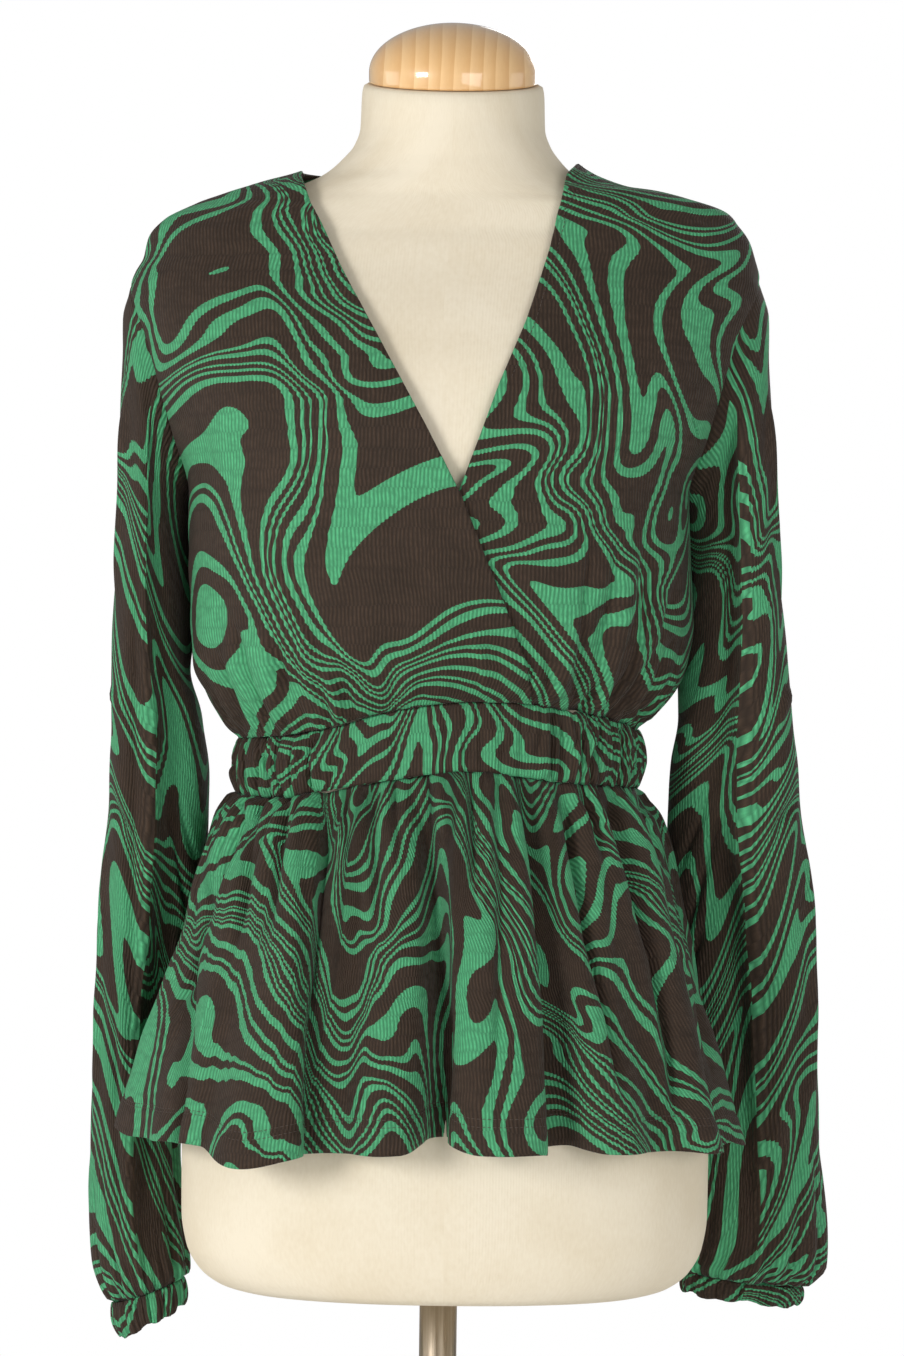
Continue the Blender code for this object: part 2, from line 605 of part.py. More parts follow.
def build_cap(collection):
    """Domed wooden cap that sits on the neck and leans with it."""
    lift = SEAT_GAP
    angles = np.linspace(90, 0, 9)
    profile = [(CAP_RADIUS * math.cos(math.radians(a)), lift + CAP_RIM + CAP_DOME * math.sin(math.radians(a)))
               for a in angles]
    profile[0] = (0.0, lift + CAP_RIM + CAP_DOME)
    profile += [(CAP_RADIUS, lift + CAP_EDGE), (CAP_RADIUS - CAP_EDGE, lift), (0.0, lift)]
    cap = make_turned("neck_cap", profile, VARNISHED_PINE, collection)
    cap.location = (0, 0, FORM[-1].height * MM)
    cap.rotation_euler = (math.radians(NECK_TILT), 0, 0)
    return cap


def build_pole(collection):
    """Round steel pole between the base and the form's underside."""
    low = (BOSS_HEIGHT + SEAT_GAP) * MM
    high = (FORM[0].height - SEAT_GAP) * MM
    bpy.ops.mesh.primitive_cylinder_add(vertices=TURNED_STEPS, radius=POLE_RADIUS * MM, depth=high - low,
                                        location=(0, 0, (high + low) / 2))
    pole = bpy.context.object
    pole.name = pole.data.name = "stand_pole"
    for owner in pole.users_collection:
        owner.objects.unlink(pole)
    collection.objects.link(pole)
    pole.data.materials.append(make_material("stand_pole", BRUSHED_STEEL))
    return pole


def build_base(collection):
    """Round steel plate with a turned boss that holds the pole."""
    profile = [
        (0.0, BOSS_HEIGHT),
        (BOSS_RADIUS - PLATE_EDGE, BOSS_HEIGHT),
        (BOSS_RADIUS, BOSS_HEIGHT - PLATE_EDGE),
        (BOSS_RADIUS, PLATE_THICK + BOSS_FLARE / 2),
        (BOSS_RADIUS + BOSS_FLARE, PLATE_THICK),
        (PLATE_RADIUS - PLATE_EDGE, PLATE_THICK),
        (PLATE_RADIUS, PLATE_THICK - PLATE_EDGE),
        (PLATE_RADIUS, 0.0),
        (0.0, 0.0),
    ]
    return make_turned("stand_base", profile, BRUSHED_STEEL, collection)


def main():
    """Clear the scene and build every piece."""
    for leftover in list(bpy.data.objects):
        bpy.data.objects.remove(leftover)
    collection = bpy.data.collections.new("wrap_top_on_dress_form")
    bpy.context.scene.collection.children.link(collection)
    build_form(collection)
    build_cap(collection)
    build_pole(collection)
    build_base(collection)
    build_front("bodice_front_right", RIGHT, UPPER_EDGE, WRAP_STEP, collection)
    build_front("bodice_front_left", LEFT, LOWER_EDGE, 0.0, collection)
    build_back(collection)
    build_band("waistband_front", -90, 90, collection)
    build_band("waistband_back", 90, 270, collection)
    build_peplum("peplum_front", -90, 90, collection)
    build_peplum("peplum_back", 90, 270, collection)
    build_sleeve("sleeve_right", RIGHT, collection)
    build_sleeve("sleeve_left", LEFT, collection)
    build_cuff("cuff_right", RIGHT, collection)
    build_cuff("cuff_left", LEFT, collection)


main()
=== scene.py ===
"""Looks of a long-sleeve wrap peplum top, worn by a limbless dress form on a round steel stand.

Lengths in the tables are millimetres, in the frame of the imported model: +Z up, the front towards -Y, the wearer's right
at -X.  An angle round the body is 0 at the front, +90 at +X and 180 at the back.  Meshes are made in metres.
"""

import logging
import math
from dataclasses import dataclass, field, replace
from enum import Enum
from typing import Callable, Mapping, Sequence

import bmesh
import bpy
import numpy as np
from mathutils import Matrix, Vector

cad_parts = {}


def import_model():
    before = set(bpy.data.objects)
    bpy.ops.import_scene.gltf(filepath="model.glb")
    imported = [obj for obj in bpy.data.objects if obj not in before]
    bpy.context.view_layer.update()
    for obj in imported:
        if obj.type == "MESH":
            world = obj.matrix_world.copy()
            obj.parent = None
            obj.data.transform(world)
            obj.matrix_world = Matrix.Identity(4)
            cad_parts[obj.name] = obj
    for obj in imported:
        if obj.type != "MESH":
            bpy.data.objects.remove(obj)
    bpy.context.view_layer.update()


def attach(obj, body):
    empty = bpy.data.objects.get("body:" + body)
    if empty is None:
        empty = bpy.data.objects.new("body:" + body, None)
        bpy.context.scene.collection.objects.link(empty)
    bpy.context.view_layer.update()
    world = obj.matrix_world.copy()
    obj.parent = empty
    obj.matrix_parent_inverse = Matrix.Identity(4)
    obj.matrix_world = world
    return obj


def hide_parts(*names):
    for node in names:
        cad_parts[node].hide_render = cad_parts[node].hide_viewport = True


MM = 0.001
FULL_TURN = 360.0

Grid = np.ndarray            # rows x columns x 3 points, in millimetres
Field = np.ndarray           # one number for each point of a grid
Walk = Callable[[Field], Grid]
Pair = tuple[float, float]
Socket = bpy.types.NodeSocket

log = logging.getLogger("wrap_top")


class Side(Enum):
    """The wearer's sides, as signs of X."""

    RIGHT = -1
    LEFT = 1


class Half(Enum):
    """Halves of a ring round the body, as their first and last angles."""

    FRONT = (-90.0, 90.0)
    BACK = (90.0, 270.0)


# ---- curves and rings -----------------------------------------------------------------------------------------------


def smooth_step(value: Field) -> Field:
    """Ease numbers that lie from 0 to 1, and hold the rest at 0 or 1."""
    value = np.clip(value, 0.0, 1.0)
    return value * value * (3 - 2 * value)


def turned(angle: Field) -> Field:
    """Angles brought to between -180 and 180."""
    return (np.asarray(angle, float) + 180) % FULL_TURN - 180


def bump(angle: Field, middle: float, half_turn: float) -> Field:
    """Soft ridge round the body: 1 at its middle angle, and 0 from half_turn away."""
    away = np.abs(turned(angle - middle)) / half_turn
    return np.where(away < 1, 0.5 + 0.5 * np.cos(np.pi * np.minimum(away, 1)), 0.0)


def even_grid(rows: int, columns: int, first: float = 0.0, last: float = 1.0) -> tuple[Field, Field]:
    """Shares from 0 to 1 up the rows of a grid, and places from first to last across its columns."""
    return tuple(np.meshgrid(np.linspace(0, 1, rows + 1), np.linspace(first, last, columns + 1), indexing="ij"))


def length_along(points: Grid, axis: int = 0) -> Field:
    """Length that is walked over points along an axis, 0 at the first point."""
    steps = np.linalg.norm(np.diff(points, axis=axis), axis=-1)
    return np.concatenate([np.zeros_like(np.take(steps, [0], axis=axis)), np.cumsum(steps, axis=axis)], axis=axis)


class Curve:
    """Smooth curve through rows of place and value, with no overshoot."""

    def __init__(self, places: Sequence[float], values: Sequence[float]) -> None:
        """Work out the slopes at the rows.

        Args:
            places: Rising places.
            values: The value at each place.
        """
        self.places = np.asarray(places, float)
        self.values = np.asarray(values, float)
        steps = np.diff(self.values) / np.diff(self.places)
        before, after = steps[:-1], steps[1:]
        same_way = before * after > 0
        total = np.where(same_way, before + after, 1.0)
        inner = np.where(same_way, 2 * before * after / total, 0.0)
        self.slopes = np.concatenate([steps[:1], inner, steps[-1:]])

    def __call__(self, place: Field) -> Field:
        """Follow the curve.

        Args:
            place: Places along it.

        Returns:
            The value at each place.
        """
        place = np.asarray(place, float)
        k = np.clip(np.searchsorted(self.places, place) - 1, 0, len(self.places) - 2)
        width = self.places[k + 1] - self.places[k]
        t = np.clip((place - self.places[k]) / width, 0.0, 1.0)
        leave, arrive = self.slopes[k] * width, self.slopes[k + 1] * width
        return (self.values[k] * (1 + 2 * t) * (1 - t) ** 2 + leave * t * (1 - t) ** 2
                + self.values[k + 1] * t * t * (3 - 2 * t) - arrive * t * t * (1 - t))


@dataclass(frozen=True)
class Ring:
    """Ring round the body: half its width, sideways centre, reach to the front and back, and how square it is."""

    height: float
    half_width: float
    centre: float
    front: float
    back: float
    square: float


class Rings:
    """A body that is lofted through rings."""

    def __init__(self, *rows: Ring) -> None:
        """Make a curve for each size of the rings.

        Args:
            *rows: The rings, from the lowest up.
        """
        heights = [ring.height for ring in rows]
        names = ("half_width", "centre", "front", "back", "square")
        self.curves = {name: Curve(heights, [getattr(ring, name) for ring in rows]) for name in names}

    def size(self, name: str, height: float) -> float:
        """One size of the body at a height."""
        return float(self.curves[name](height))

    def around(self, angle: Field, height: Field, out: Field = 0.0, ring_height: Field | None = None) -> Grid:
        """Points on the body.

        Args:
            angle: Angles in degrees.
            height: Heights of the points.
            out: How far the points stand out from the body.
            ring_height: Height whose ring is used, where that isn't the point's own.

        Returns:
            The points.
        """
        place = height if ring_height is None else ring_height
        half_width, centre, front, back, square = (curve(place) for curve in self.curves.values())
        side, ahead = np.sin(np.radians(angle)), np.cos(np.radians(angle))
        reach = np.where(ahead > 0, front, back)
        across = np.sign(side) * np.abs(side) ** (2 / square)
        along = -np.sign(ahead) * np.abs(ahead) ** (2 / square)
        x = centre + (half_width + out) * across
        y = (reach + out) * along
        return np.stack(np.broadcast_arrays(x, y, height), axis=-1)


def walk_along(points: Sequence[Pair], degree: float) -> Walk:
    """Walk along points of angle and height, evenly by length.

    Args:
        points: The edge's points.
        degree: Length of one degree, in millimetres.

    Returns:
        A function from 0 to 1 to an angle and a height.
    """
    table = np.array(points, float)
    walked = length_along(table * (degree, 1.0))
    return lambda t: np.stack([np.interp(t * walked[-1], walked, table[:, k]) for k in (0, 1)], axis=-1)


def two_walks(first: Walk, second: Walk, share: float) -> Walk:
    """Walk along one edge, and from the given share on along another."""
    return lambda t: np.where((t < share)[..., None], first(np.clip(t / share, 0, 1)),
                              second(np.clip((t - share) / (1 - share), 0, 1)))


def patch(bottom: Walk, top: Walk, start: Walk, end: Walk, columns: int, rows: int) -> Grid:
    """Grid of angles and heights between four edges that meet at their ends.

    Args:
        bottom: Lower edge.
        top: Upper edge.
        start: Edge of the first column.
        end: Edge of the last column.
        columns: Number of cells across.
        rows: Number of cells up.

    Returns:
        rows + 1 by columns + 1 pairs of angle and height.
    """
    v, u = even_grid(rows, columns)
    low, high, first, last = bottom(u), top(u), start(v), end(v)
    u, v = u[..., None], v[..., None]
    zero, one = np.array(0.0), np.array(1.0)
    corners = ((1 - u) * (1 - v) * bottom(zero) + u * (1 - v) * bottom(one)
               + (1 - u) * v * top(zero) + u * v * top(one))
    return (1 - v) * low + v * high + (1 - u) * first + u * last - corners


def normals_of(points: Grid, closed: bool = False) -> Grid:
    """Unit normals of a grid of points.

    Args:
        points: The grid.
        closed: Whether its columns close on themselves.

    Returns:
        A unit vector for each point.
    """
    if closed:
        wrapped = np.concatenate([points[:, -1:], points, points[:, :1]], axis=1)
        across = (wrapped[:, 2:] - wrapped[:, :-2]) / 2
    else:
        across = np.gradient(points, axis=1)
    normal = np.cross(across, np.gradient(points, axis=0))
    return normal / np.maximum(np.linalg.norm(normal, axis=-1, keepdims=True), 1e-9)


def outward_normals(points: Grid) -> Grid:
    """Unit normals of a tube, turned so that they point out of it."""
    normal, outward = normals_of(points, closed=True), points - points.mean(axis=1, keepdims=True)
    return normal * np.sign(np.sum(normal * outward, axis=-1).mean())


# ---- relief of cloth ------------------------------------------------------------------------------------------------


@dataclass(frozen=True)
class Crease:
    """Soft ridge or trough on a panel, from one place to another.

    The places are two coordinates of the panel, in millimetres.  A crease with a grip starts at a seam at full depth.
    """

    from_x: float
    from_z: float
    to_x: float
    to_z: float
    depth: float
    half_width: float
    bow: float = 0.0
    grip: bool = False

    def relief(self, x: Field, z: Field) -> Field:
        """Work out how far the crease moves points out.

        Args:
            x: Their first coordinates on the panel.
            z: Their second ones.

        Returns:
            The move of each point.
        """
        run_x, run_z = self.to_x - self.from_x, self.to_z - self.from_z
        length = math.hypot(run_x, run_z)
        t = ((x - self.from_x) * run_x + (z - self.from_z) * run_z) / length ** 2
        inside = np.clip(t, 0, 1)
        away = ((x - self.from_x) * run_z - (z - self.from_z) * run_x) / length - self.bow * 4 * inside * (1 - inside)
        across = np.exp(-(away / (0.6 * self.half_width)) ** 2)
        start = 1.0 if self.grip else smooth_step(t / 0.25)
        return self.depth * across * start * smooth_step((1 - t) / 0.45)


@dataclass(frozen=True)
class Gathers:
    """Uneven small pleats that fan out from a seam, placed by a seed: how many, how deep, and between which places.

    They run from the shortest to the longest length down from the seam, and lean to either side of it at random.
    """

    count: int
    depth: float
    first: float
    last: float
    shortest: float
    longest: float
    lean: float
    seed: int

    def relief(self, place: Field, away: Field) -> Field:
        """Work out how far the pleats move points out.

        Args:
            place: Places along the seam, in the unit of first and last.
            away: Distances from the seam, in millimetres.

        Returns:
            The move of each point, about 0 on average.
        """
        chance = np.random.default_rng(self.seed)
        pitch = (self.last - self.first) / self.count
        total = np.zeros(np.broadcast(place, away).shape)
        for k in range(self.count):
            middle = self.first + (k + 0.5 + chance.uniform(-0.3, 0.3)) * pitch
            width = pitch * chance.uniform(0.24, 0.42)
            depth = self.depth * chance.uniform(0.45, 1.15)
            length = self.shortest + (self.longest - self.shortest) * chance.uniform(0, 1) ** 2
            drift = chance.normal(0, self.lean)
            skew = chance.uniform(0.55, 1.8)
            aside = (place - middle - drift * away) / (width * (1 + 0.6 * away / length))
            aside = aside * np.where(aside > 0, skew, 1 / skew)
            valley = np.exp(-1.5 * (np.sqrt(aside ** 2 + 0.02) - 0.14))
            total -= depth * valley * np.exp(-(away / length) ** 2)
        return total + 0.5 * self.depth * np.exp(-(away / self.longest) ** 2)


@dataclass(frozen=True)
class Pleat:
    """Sharp valley that runs down a panel, between a steep flank and a gentle one.

    Its line is a table of x and height from its upper end down.  Its left and right are the widths of its flanks.
    """

    line: tuple[Pair, ...]
    depth: float
    left: float
    right: float
    fade_top: float = 0.0
    fade_foot: float = 0.0

    STEP = 2.2               # where, on the steep side, the print jumps
    HIDDEN = 0.75            # cloth that is hidden in the pleat, as a share of its depth

    def beside(self, x: Field, z: Field) -> tuple[Field, Field, Field]:
        """Find where points lie beside the pleat.

        Args:
            x: Their places across.
            z: Their heights.

        Returns:
            Distances from its line, shares of the way down it, and how much of it is left towards its foot.
        """
        across, heights = np.array(self.line[::-1], float).T
        down = (heights[-1] - z) / (heights[-1] - heights[0])
        foot = smooth_step((1 - down) / self.fade_foot) if self.fade_foot else 1.0
        return x - np.interp(z, heights, across), down, foot

    def relief(self, x: Field, z: Field) -> Field:
        """Work out how far the pleat moves points out.

        Args:
            x: Their places across.
            z: Their heights.

        Returns:
            The move of each point.
        """
        away, down, foot = self.beside(x, z)
        valley = np.exp(-(np.sqrt(away ** 2 + 0.8) - 0.9) / np.where(away < 0, self.left, self.right))
        shoulder = np.exp(-(away / (1.5 * (self.left + self.right))) ** 2)
        top = smooth_step(down / self.fade_top) if self.fade_top else 1.0
        return self.depth * (0.34 * shoulder - valley) * top * foot

    def swallowed(self, x: Field, z: Field) -> Field:
        """Work out the width of cloth hidden in the steep flank, which shifts the print beyond it.

        Args:
            x: Places across.
            z: Heights.

        Returns:
            The shift at each point.
        """
        away, _, foot = self.beside(x, z)
        near = self.STEP if self.left < self.right else -self.STEP
        return self.depth * self.HIDDEN * smooth_step((away + near + 2.0) / 4.0) * foot


@dataclass(frozen=True)
class Ripple:
    """Slight unevenness of limp cloth, from a few waves in seeded directions."""

    depth: float
    wavelength: float
    seed: int

    WAVES = 7

    def relief(self, x: Field, z: Field) -> Field:
        """Work out how far the ripple moves points out.

        Args:
            x: Their first coordinates.
            z: Their second ones.

        Returns:
            The move of each point.
        """
        chance = np.random.default_rng(self.seed)
        total = np.zeros(np.broadcast(x, z).shape)
        for _ in range(self.WAVES):
            turn = chance.uniform(0, 2 * math.pi)
            length = self.wavelength * chance.uniform(0.6, 1.7)
            phase = chance.uniform(0, 2 * math.pi)
            total += np.sin((x * math.cos(turn) + z * math.sin(turn)) * 2 * math.pi / length + phase)
        return self.depth * total / math.sqrt(self.WAVES)


def relief_of(forms: Sequence[Crease | Pleat], x: Field, z: Field) -> Field:
    """How far creases or pleats together move points out."""
    return sum(form.relief(x, z) for form in forms)


# ---- meshes ---------------------------------------------------------------------------------------------------------


def add_object(name: str, mesh: bpy.types.Mesh, material: bpy.types.Material) -> bpy.types.Object:
    """Put a smooth mesh of one material into the scene.

    Args:
        name: Name of the object.
        mesh: Its mesh.
        material: Its material.

    Returns:
        The object.
    """
    mesh.materials.append(material)
    piece = bpy.data.objects.new(name, mesh)
    bpy.context.scene.collection.objects.link(piece)
    return piece


def smooth_mesh(name: str, points: Grid, faces: Sequence[Sequence[int]]) -> bpy.types.Mesh:
    """Smooth-shaded mesh.

    Args:
        name: Name of the mesh.
        points: Its points, in millimetres.
        faces: Numbers of each face's points.

    Returns:
        The mesh.
    """
    mesh = bpy.data.meshes.new(name)
    mesh.from_pydata((np.asarray(points) * MM).tolist(), [], faces)
    mesh.shade_smooth()
    return mesh


def grid_mesh(name: str, points: Grid, cut: Grid, closed: bool = False) -> bpy.types.Mesh:
    """Smooth mesh of a grid, with its place on the flat cloth as the UV map.

    Args:
        name: Name of the mesh.
        points: Points in millimetres.
        cut: Flat places in millimetres, with one column more than the points where the grid is closed.
        closed: Whether the columns close on themselves.

    Returns:
        The mesh.
    """
    rows, columns = points.shape[:2]
    cells = columns if closed else columns - 1
    row, column = np.meshgrid(np.arange(rows - 1), np.arange(cells), indexing="ij")
    row, column = row.ravel(), column.ravel()
    right = (column + 1) % columns
    corners = np.stack([row * columns + column, row * columns + right,
                        (row + 1) * columns + right, (row + 1) * columns + column], axis=-1)
    mesh = smooth_mesh(name, points.reshape(-1, 3), corners.tolist())
    flat = np.stack([cut[row, column], cut[row, column + 1], cut[row + 1, column + 1], cut[row + 1, column]], axis=1)
    mesh.uv_layers.new(name="Cut").data.foreach_set("uv", (flat * MM).astype(np.float32).ravel())
    return mesh


def cut_size(cut: Grid) -> tuple[Pair, float]:
    """Width and length of a flat cut, and its area.

    Args:
        cut: Flat places in millimetres.

    Returns:
        The two sides in metres, and the area in square metres.
    """
    sides = np.ptp(cut.reshape(-1, 2), axis=0) * MM
    one, two = cut[1:, 1:] - cut[:-1, :-1], cut[1:, :-1] - cut[:-1, 1:]
    area = float(np.abs(one[..., 0] * two[..., 1] - one[..., 1] * two[..., 0]).sum()) / 2 * MM * MM
    return (float(sides[0]), float(sides[1])), area


def arc(middle: Pair, radii: Pair, angles: Field) -> list[Pair]:
    """Points of an elliptic arc about a middle, with a level and an upright half axis, at angles in degrees."""
    turns = np.radians(angles)
    return list(zip(middle[0] + radii[0] * np.cos(turns), middle[1] + radii[1] * np.sin(turns)))


def lathe_mesh(name: str, profile: Sequence[Pair], steps: int) -> bpy.types.Mesh:
    """Turned mesh from a profile of radius and height, which runs down its outer side.

    Args:
        name: Name of the mesh.
        profile: Radius and height of each point, from the axis to the axis.
        steps: Number of steps round it.

    Returns:
        The mesh.
    """
    inner = np.array(profile[1:-1], float)
    turn = np.linspace(0, 2 * math.pi, steps, endpoint=False)
    rings = np.stack([inner[:, :1] * np.cos(turn), inner[:, :1] * np.sin(turn),
                      np.repeat(inner[:, 1:], steps, axis=1)], axis=-1)
    points = rings.reshape(-1, 3).tolist() + [(0.0, 0.0, profile[0][1]), (0.0, 0.0, profile[-1][1])]
    top, bottom, last = len(points) - 2, len(points) - 1, (len(inner) - 1) * steps
    rights = [(column + 1) % steps for column in range(steps)]
    faces = [(row + column, row + steps + column, row + steps + right, row + right)
             for row in range(0, last, steps) for column, right in enumerate(rights)]
    for column, right in enumerate(rights):
        faces += [(top, column, right), (bottom, last + right, last + column)]
    return smooth_mesh(name, points, faces)


# ---- materials ------------------------------------------------------------------------------------------------------


def srgb(code: str) -> tuple[float, float, float, float]:
    """Linear colour of an sRGB hex code.

    Args:
        code: Six hex digits after a hash.

    Returns:
        Red, green, blue and alpha.
    """
    parts = [int(code[k:k + 2], 16) / 255 for k in (1, 3, 5)]
    red, green, blue = (c / 12.92 if c <= 0.04045 else ((c + 0.055) / 1.055) ** 2.4 for c in parts)
    return red, green, blue, 1.0


class Graph:
    """A material's nodes.  A value that is a socket is linked, and any other is set."""

    def __init__(self, name: str) -> None:
        """Make the material with its Principled shader.

        Args:
            name: Name of the material.
        """
        self.material = bpy.data.materials.new(name)
        self.material.use_nodes = True
        self.tree = self.material.node_tree

    def fill(self, node: bpy.types.Node, values: Mapping) -> None:
        """Set a node's values.

        Args:
            node: The node.
            values: Values of its properties, by name, and of its inputs, by name or number.
        """
        for name, value in values.items():
            if isinstance(value, Socket):
                self.tree.links.new(value, node.inputs[name])
            elif isinstance(name, str) and hasattr(node, name):
                setattr(node, name, value)
            else:
                node.inputs[name].default_value = value

    def add(self, kind: str, values: Mapping | None = None, output: str | int = 0) -> Socket:
        """Add a node.

        Args:
            kind: The node's type after "ShaderNode".
            values: Its values, as for fill.
            output: Which of its outputs is wanted.

        Returns:
            That output.
        """
        node = self.tree.nodes.new("ShaderNode" + kind)
        self.fill(node, values or {})
        return node.outputs[output]

    def math(self, operation: str, *values: Socket | float) -> Socket:
        """Result of a calculation with numbers."""
        return self.add("Math", {"operation": operation, **dict(enumerate(values))})

    def vector(self, operation: str, *values: Socket | tuple) -> Socket:
        """Result of a calculation with vectors."""
        return self.add("VectorMath", {"operation": operation, **dict(enumerate(values))})

    def noise(self, place: Socket, scale: float, detail: float, dimensions: str = "2D", output: str = "Fac") -> Socket:
        """Soft noise at a place."""
        return self.add("TexNoise", {"noise_dimensions": dimensions, "Vector": place, "Scale": scale,
                                     "Detail": detail}, output)

    def remap(self, value: Socket, start: Pair, end: Pair) -> Socket:
        """A number brought from one range to another, and held inside it."""
        return self.add("MapRange", {"Value": value, "From Min": start[0], "From Max": start[1], "To Min": end[0],
                                     "To Max": end[1]})

    def mix(self, share: Socket | float, first: Socket | tuple, second: Socket | tuple) -> Socket:
        """Mixture of two colours or places."""
        return self.add("MixRGB", {"Fac": share, "Color1": first, "Color2": second})

    def bump(self, height: Socket, strength: float = 1.0) -> Socket:
        """Normal of a relief whose height is in metres."""
        return self.add("Bump", {"Strength": strength, "Distance": 1.0, "Height": height})

    def finish(self, values: Mapping) -> bpy.types.Material:
        """Set the shader's values and give the material."""
        self.fill(self.tree.nodes["Principled BSDF"], values)
        return self.material


@dataclass(frozen=True)
class PrintedPlisse:
    """Viscose knit, heat-set into fine crinkled ribs and printed with marbled swirls in green on dark brown.

    The ribs catch light as short upright streaks in rows, from their bump and from painted shade and highlight in the
    colour, and the print's edges are slightly ragged on them.  The swirls are a field of soft noise, bent twice by
    other noise and cut into uneven bands, as ink floats on water.
    """

    green: str = "#4fa473"
    brown: str = "#423328"
    brown_deep: str = "#33271d"
    roughness: float = 0.74
    swirl_mm: float = 122.0      # size of one large turn of the print
    eddy_mm: float = 43.0        # size of the small turns inside it
    rib_mm: float = 2.4          # drawn coarser than the real 1.8 mm, which the render can't show
    row_mm: float = 11.8         # height of a row of crinkles
    rib_depth_mm: float = 0.75
    bend: float = 0.80           # how fine the noise is that bends the swirls, for each of their sizes
    ragged: float = 0.34         # how far the print's edges follow the ribs

    BANDS = (0.0, 0.06, 0.12, 0.17, 0.205, 0.26, 0.29, 0.38, 0.44, 0.48, 0.51, 0.63, 0.69, 0.735, 0.77, 0.87, 0.93)

    def material(self, name: str) -> bpy.types.Material:
        """Make the material, which reads the cloth's flat place, in metres, from the UV map.

        Args:
            name: Its name.

        Returns:
            The material.
        """
        graph = Graph(name)
        cut = graph.add("UVMap", {"uv_map": "Cut"})
        streak = self.crinkle(graph, cut)
        height = graph.math("MULTIPLY", streak, 2 * self.rib_depth_mm * MM)
        return graph.finish({"Base Color": self.printed(graph, cut, streak), "Normal": graph.bump(height),
                             "Roughness": self.roughness, "Sheen Weight": 0.05, "Sheen Roughness": 0.5,
                             "Specular IOR Level": 0.22})

    def crinkle(self, graph: Graph, cut: Socket) -> Socket:
        """Lay out the crinkled ribs.

        Args:
            graph: The material's nodes.
            cut: The flat place.

        Returns:
            The ribs' height, from 0 to about a half.
        """
        wander = graph.noise(cut, 60.0, 1.0, output="Color")
        place = graph.vector("MULTIPLY_ADD", wander, (0.0022, 0.0042, 0.0), cut)
        rows = graph.math("MULTIPLY", graph.add("SeparateXYZ", {0: place}, "Y"), 1 / (self.row_mm * MM))
        shift = graph.add("TexWhiteNoise", {"noise_dimensions": "1D", "W": graph.math("FLOOR", rows)})
        phase = graph.math("MULTIPLY_ADD", graph.add("SeparateXYZ", {0: place}, "X"), 1 / (self.rib_mm * MM), shift)
        swell = graph.math("PINGPONG", graph.math("FRACT", rows), 0.5)
        held = graph.remap(swell, (0.0, 0.16), (0.6, 1.0))
        patchy = graph.remap(graph.noise(cut, 210.0, 2.0), (0.3, 0.7), (0.35, 1.0))
        return graph.math("MULTIPLY", graph.math("PINGPONG", phase, 0.5), graph.math("MULTIPLY", held, patchy))

    def printed(self, graph: Graph, cut: Socket, streak: Socket) -> Socket:
        """Draw the marbled print, with painted shade in the valleys between ribs and painted highlight on their crests.

        Args:
            graph: The material's nodes.
            cut: The flat place.
            streak: The ribs' height.

        Returns:
            The colour.
        """
        rib = graph.math("SNAP", graph.add("SeparateXYZ", {0: cut}, "X"), self.rib_mm * MM)
        jag = graph.math("MULTIPLY_ADD", streak, 0.0034, graph.add("SeparateXYZ", {0: cut}, "Y"))
        place = graph.mix(self.ragged, cut, graph.add("CombineXYZ", {"X": rib, "Y": jag}))
        place = graph.vector("MULTIPLY", place, (1 / (self.swirl_mm * MM),) * 3)
        for scale, reach in ((self.bend, (1.35, 1.50, 0.0)),
                             (self.bend * self.swirl_mm / self.eddy_mm, (0.34, 0.40, 0.0))):
            push = graph.vector("SUBTRACT", graph.noise(place, scale, 0.0, output="Color"), (0.5, 0.5, 0.5))
            place = graph.vector("MULTIPLY_ADD", push, reach, place)
        flow = graph.add("VectorMath", {"operation": "DOT_PRODUCT", 0: place, 1: (0.62, 0.78, 0.0)}, "Value")
        turns = graph.math("MULTIPLY_ADD", graph.noise(place, 0.88, 0.0), 1.5, flow)
        bands = graph.add("ValToRGB", {"Fac": graph.math("FRACT", turns)})
        ramp = bands.node.color_ramp
        ramp.interpolation = "CONSTANT"
        ramp.elements.remove(ramp.elements[1])
        for k, start in enumerate(self.BANDS):
            stripe = ramp.elements.new(start) if k else ramp.elements[0]
            stripe.color = (k % 2,) * 3 + (1,)
        ground = graph.mix(graph.noise(cut, 45.0, 3.0), srgb(self.brown_deep), srgb(self.brown))
        # painted shade and highlight: the colour is darkened in the rib valleys and lightened on the rib crests, as
        # light falls on the ribs
        shade = graph.remap(streak, (0.0, 0.4), (0.56, 1.28))
        return graph.add("VectorMath", {"operation": "SCALE", 0: graph.mix(bands, ground, srgb(self.green)),
                                        "Scale": shade})


@dataclass(frozen=True)
class CottonJersey:
    """Fine cotton jersey, pulled over the form: upright knit ribs and a matt, slightly uneven cream."""

    light: str = "#e7dcc6"
    deep: str = "#dfd2b9"
    roughness: float = 0.92
    rib_mm: float = 1.5          # drawn coarser than the real 1 mm
    rib_depth_mm: float = 0.04

    def material(self, name: str) -> bpy.types.Material:
        """Make the material, which reads the place on the form, in metres, from the UV map.

        Args:
            name: Its name.

        Returns:
            The material.
        """
        graph = Graph(name)
        cut = graph.add("UVMap", {"uv_map": "Cut"})
        ribs = graph.math("MULTIPLY", graph.add("SeparateXYZ", {0: cut}, "X"), 1 / (self.rib_mm * MM))
        slub = graph.noise(graph.vector("MULTIPLY", cut, (1.0, 0.4, 1.0)), 520.0, 3.0)
        knit = graph.math("MULTIPLY", graph.math("PINGPONG", ribs, 0.5), slub)
        height = graph.math("MULTIPLY", knit, 4 * self.rib_depth_mm * MM)
        tone = graph.remap(graph.math("MULTIPLY_ADD", slub, 0.5, graph.noise(cut, 14.0, 4.0)), (0.55, 1.0), (0.0, 1.0))
        return graph.finish({"Base Color": graph.mix(tone, srgb(self.light), srgb(self.deep)),
                             "Normal": graph.bump(height), "Roughness": self.roughness, "Specular IOR Level": 0.25})


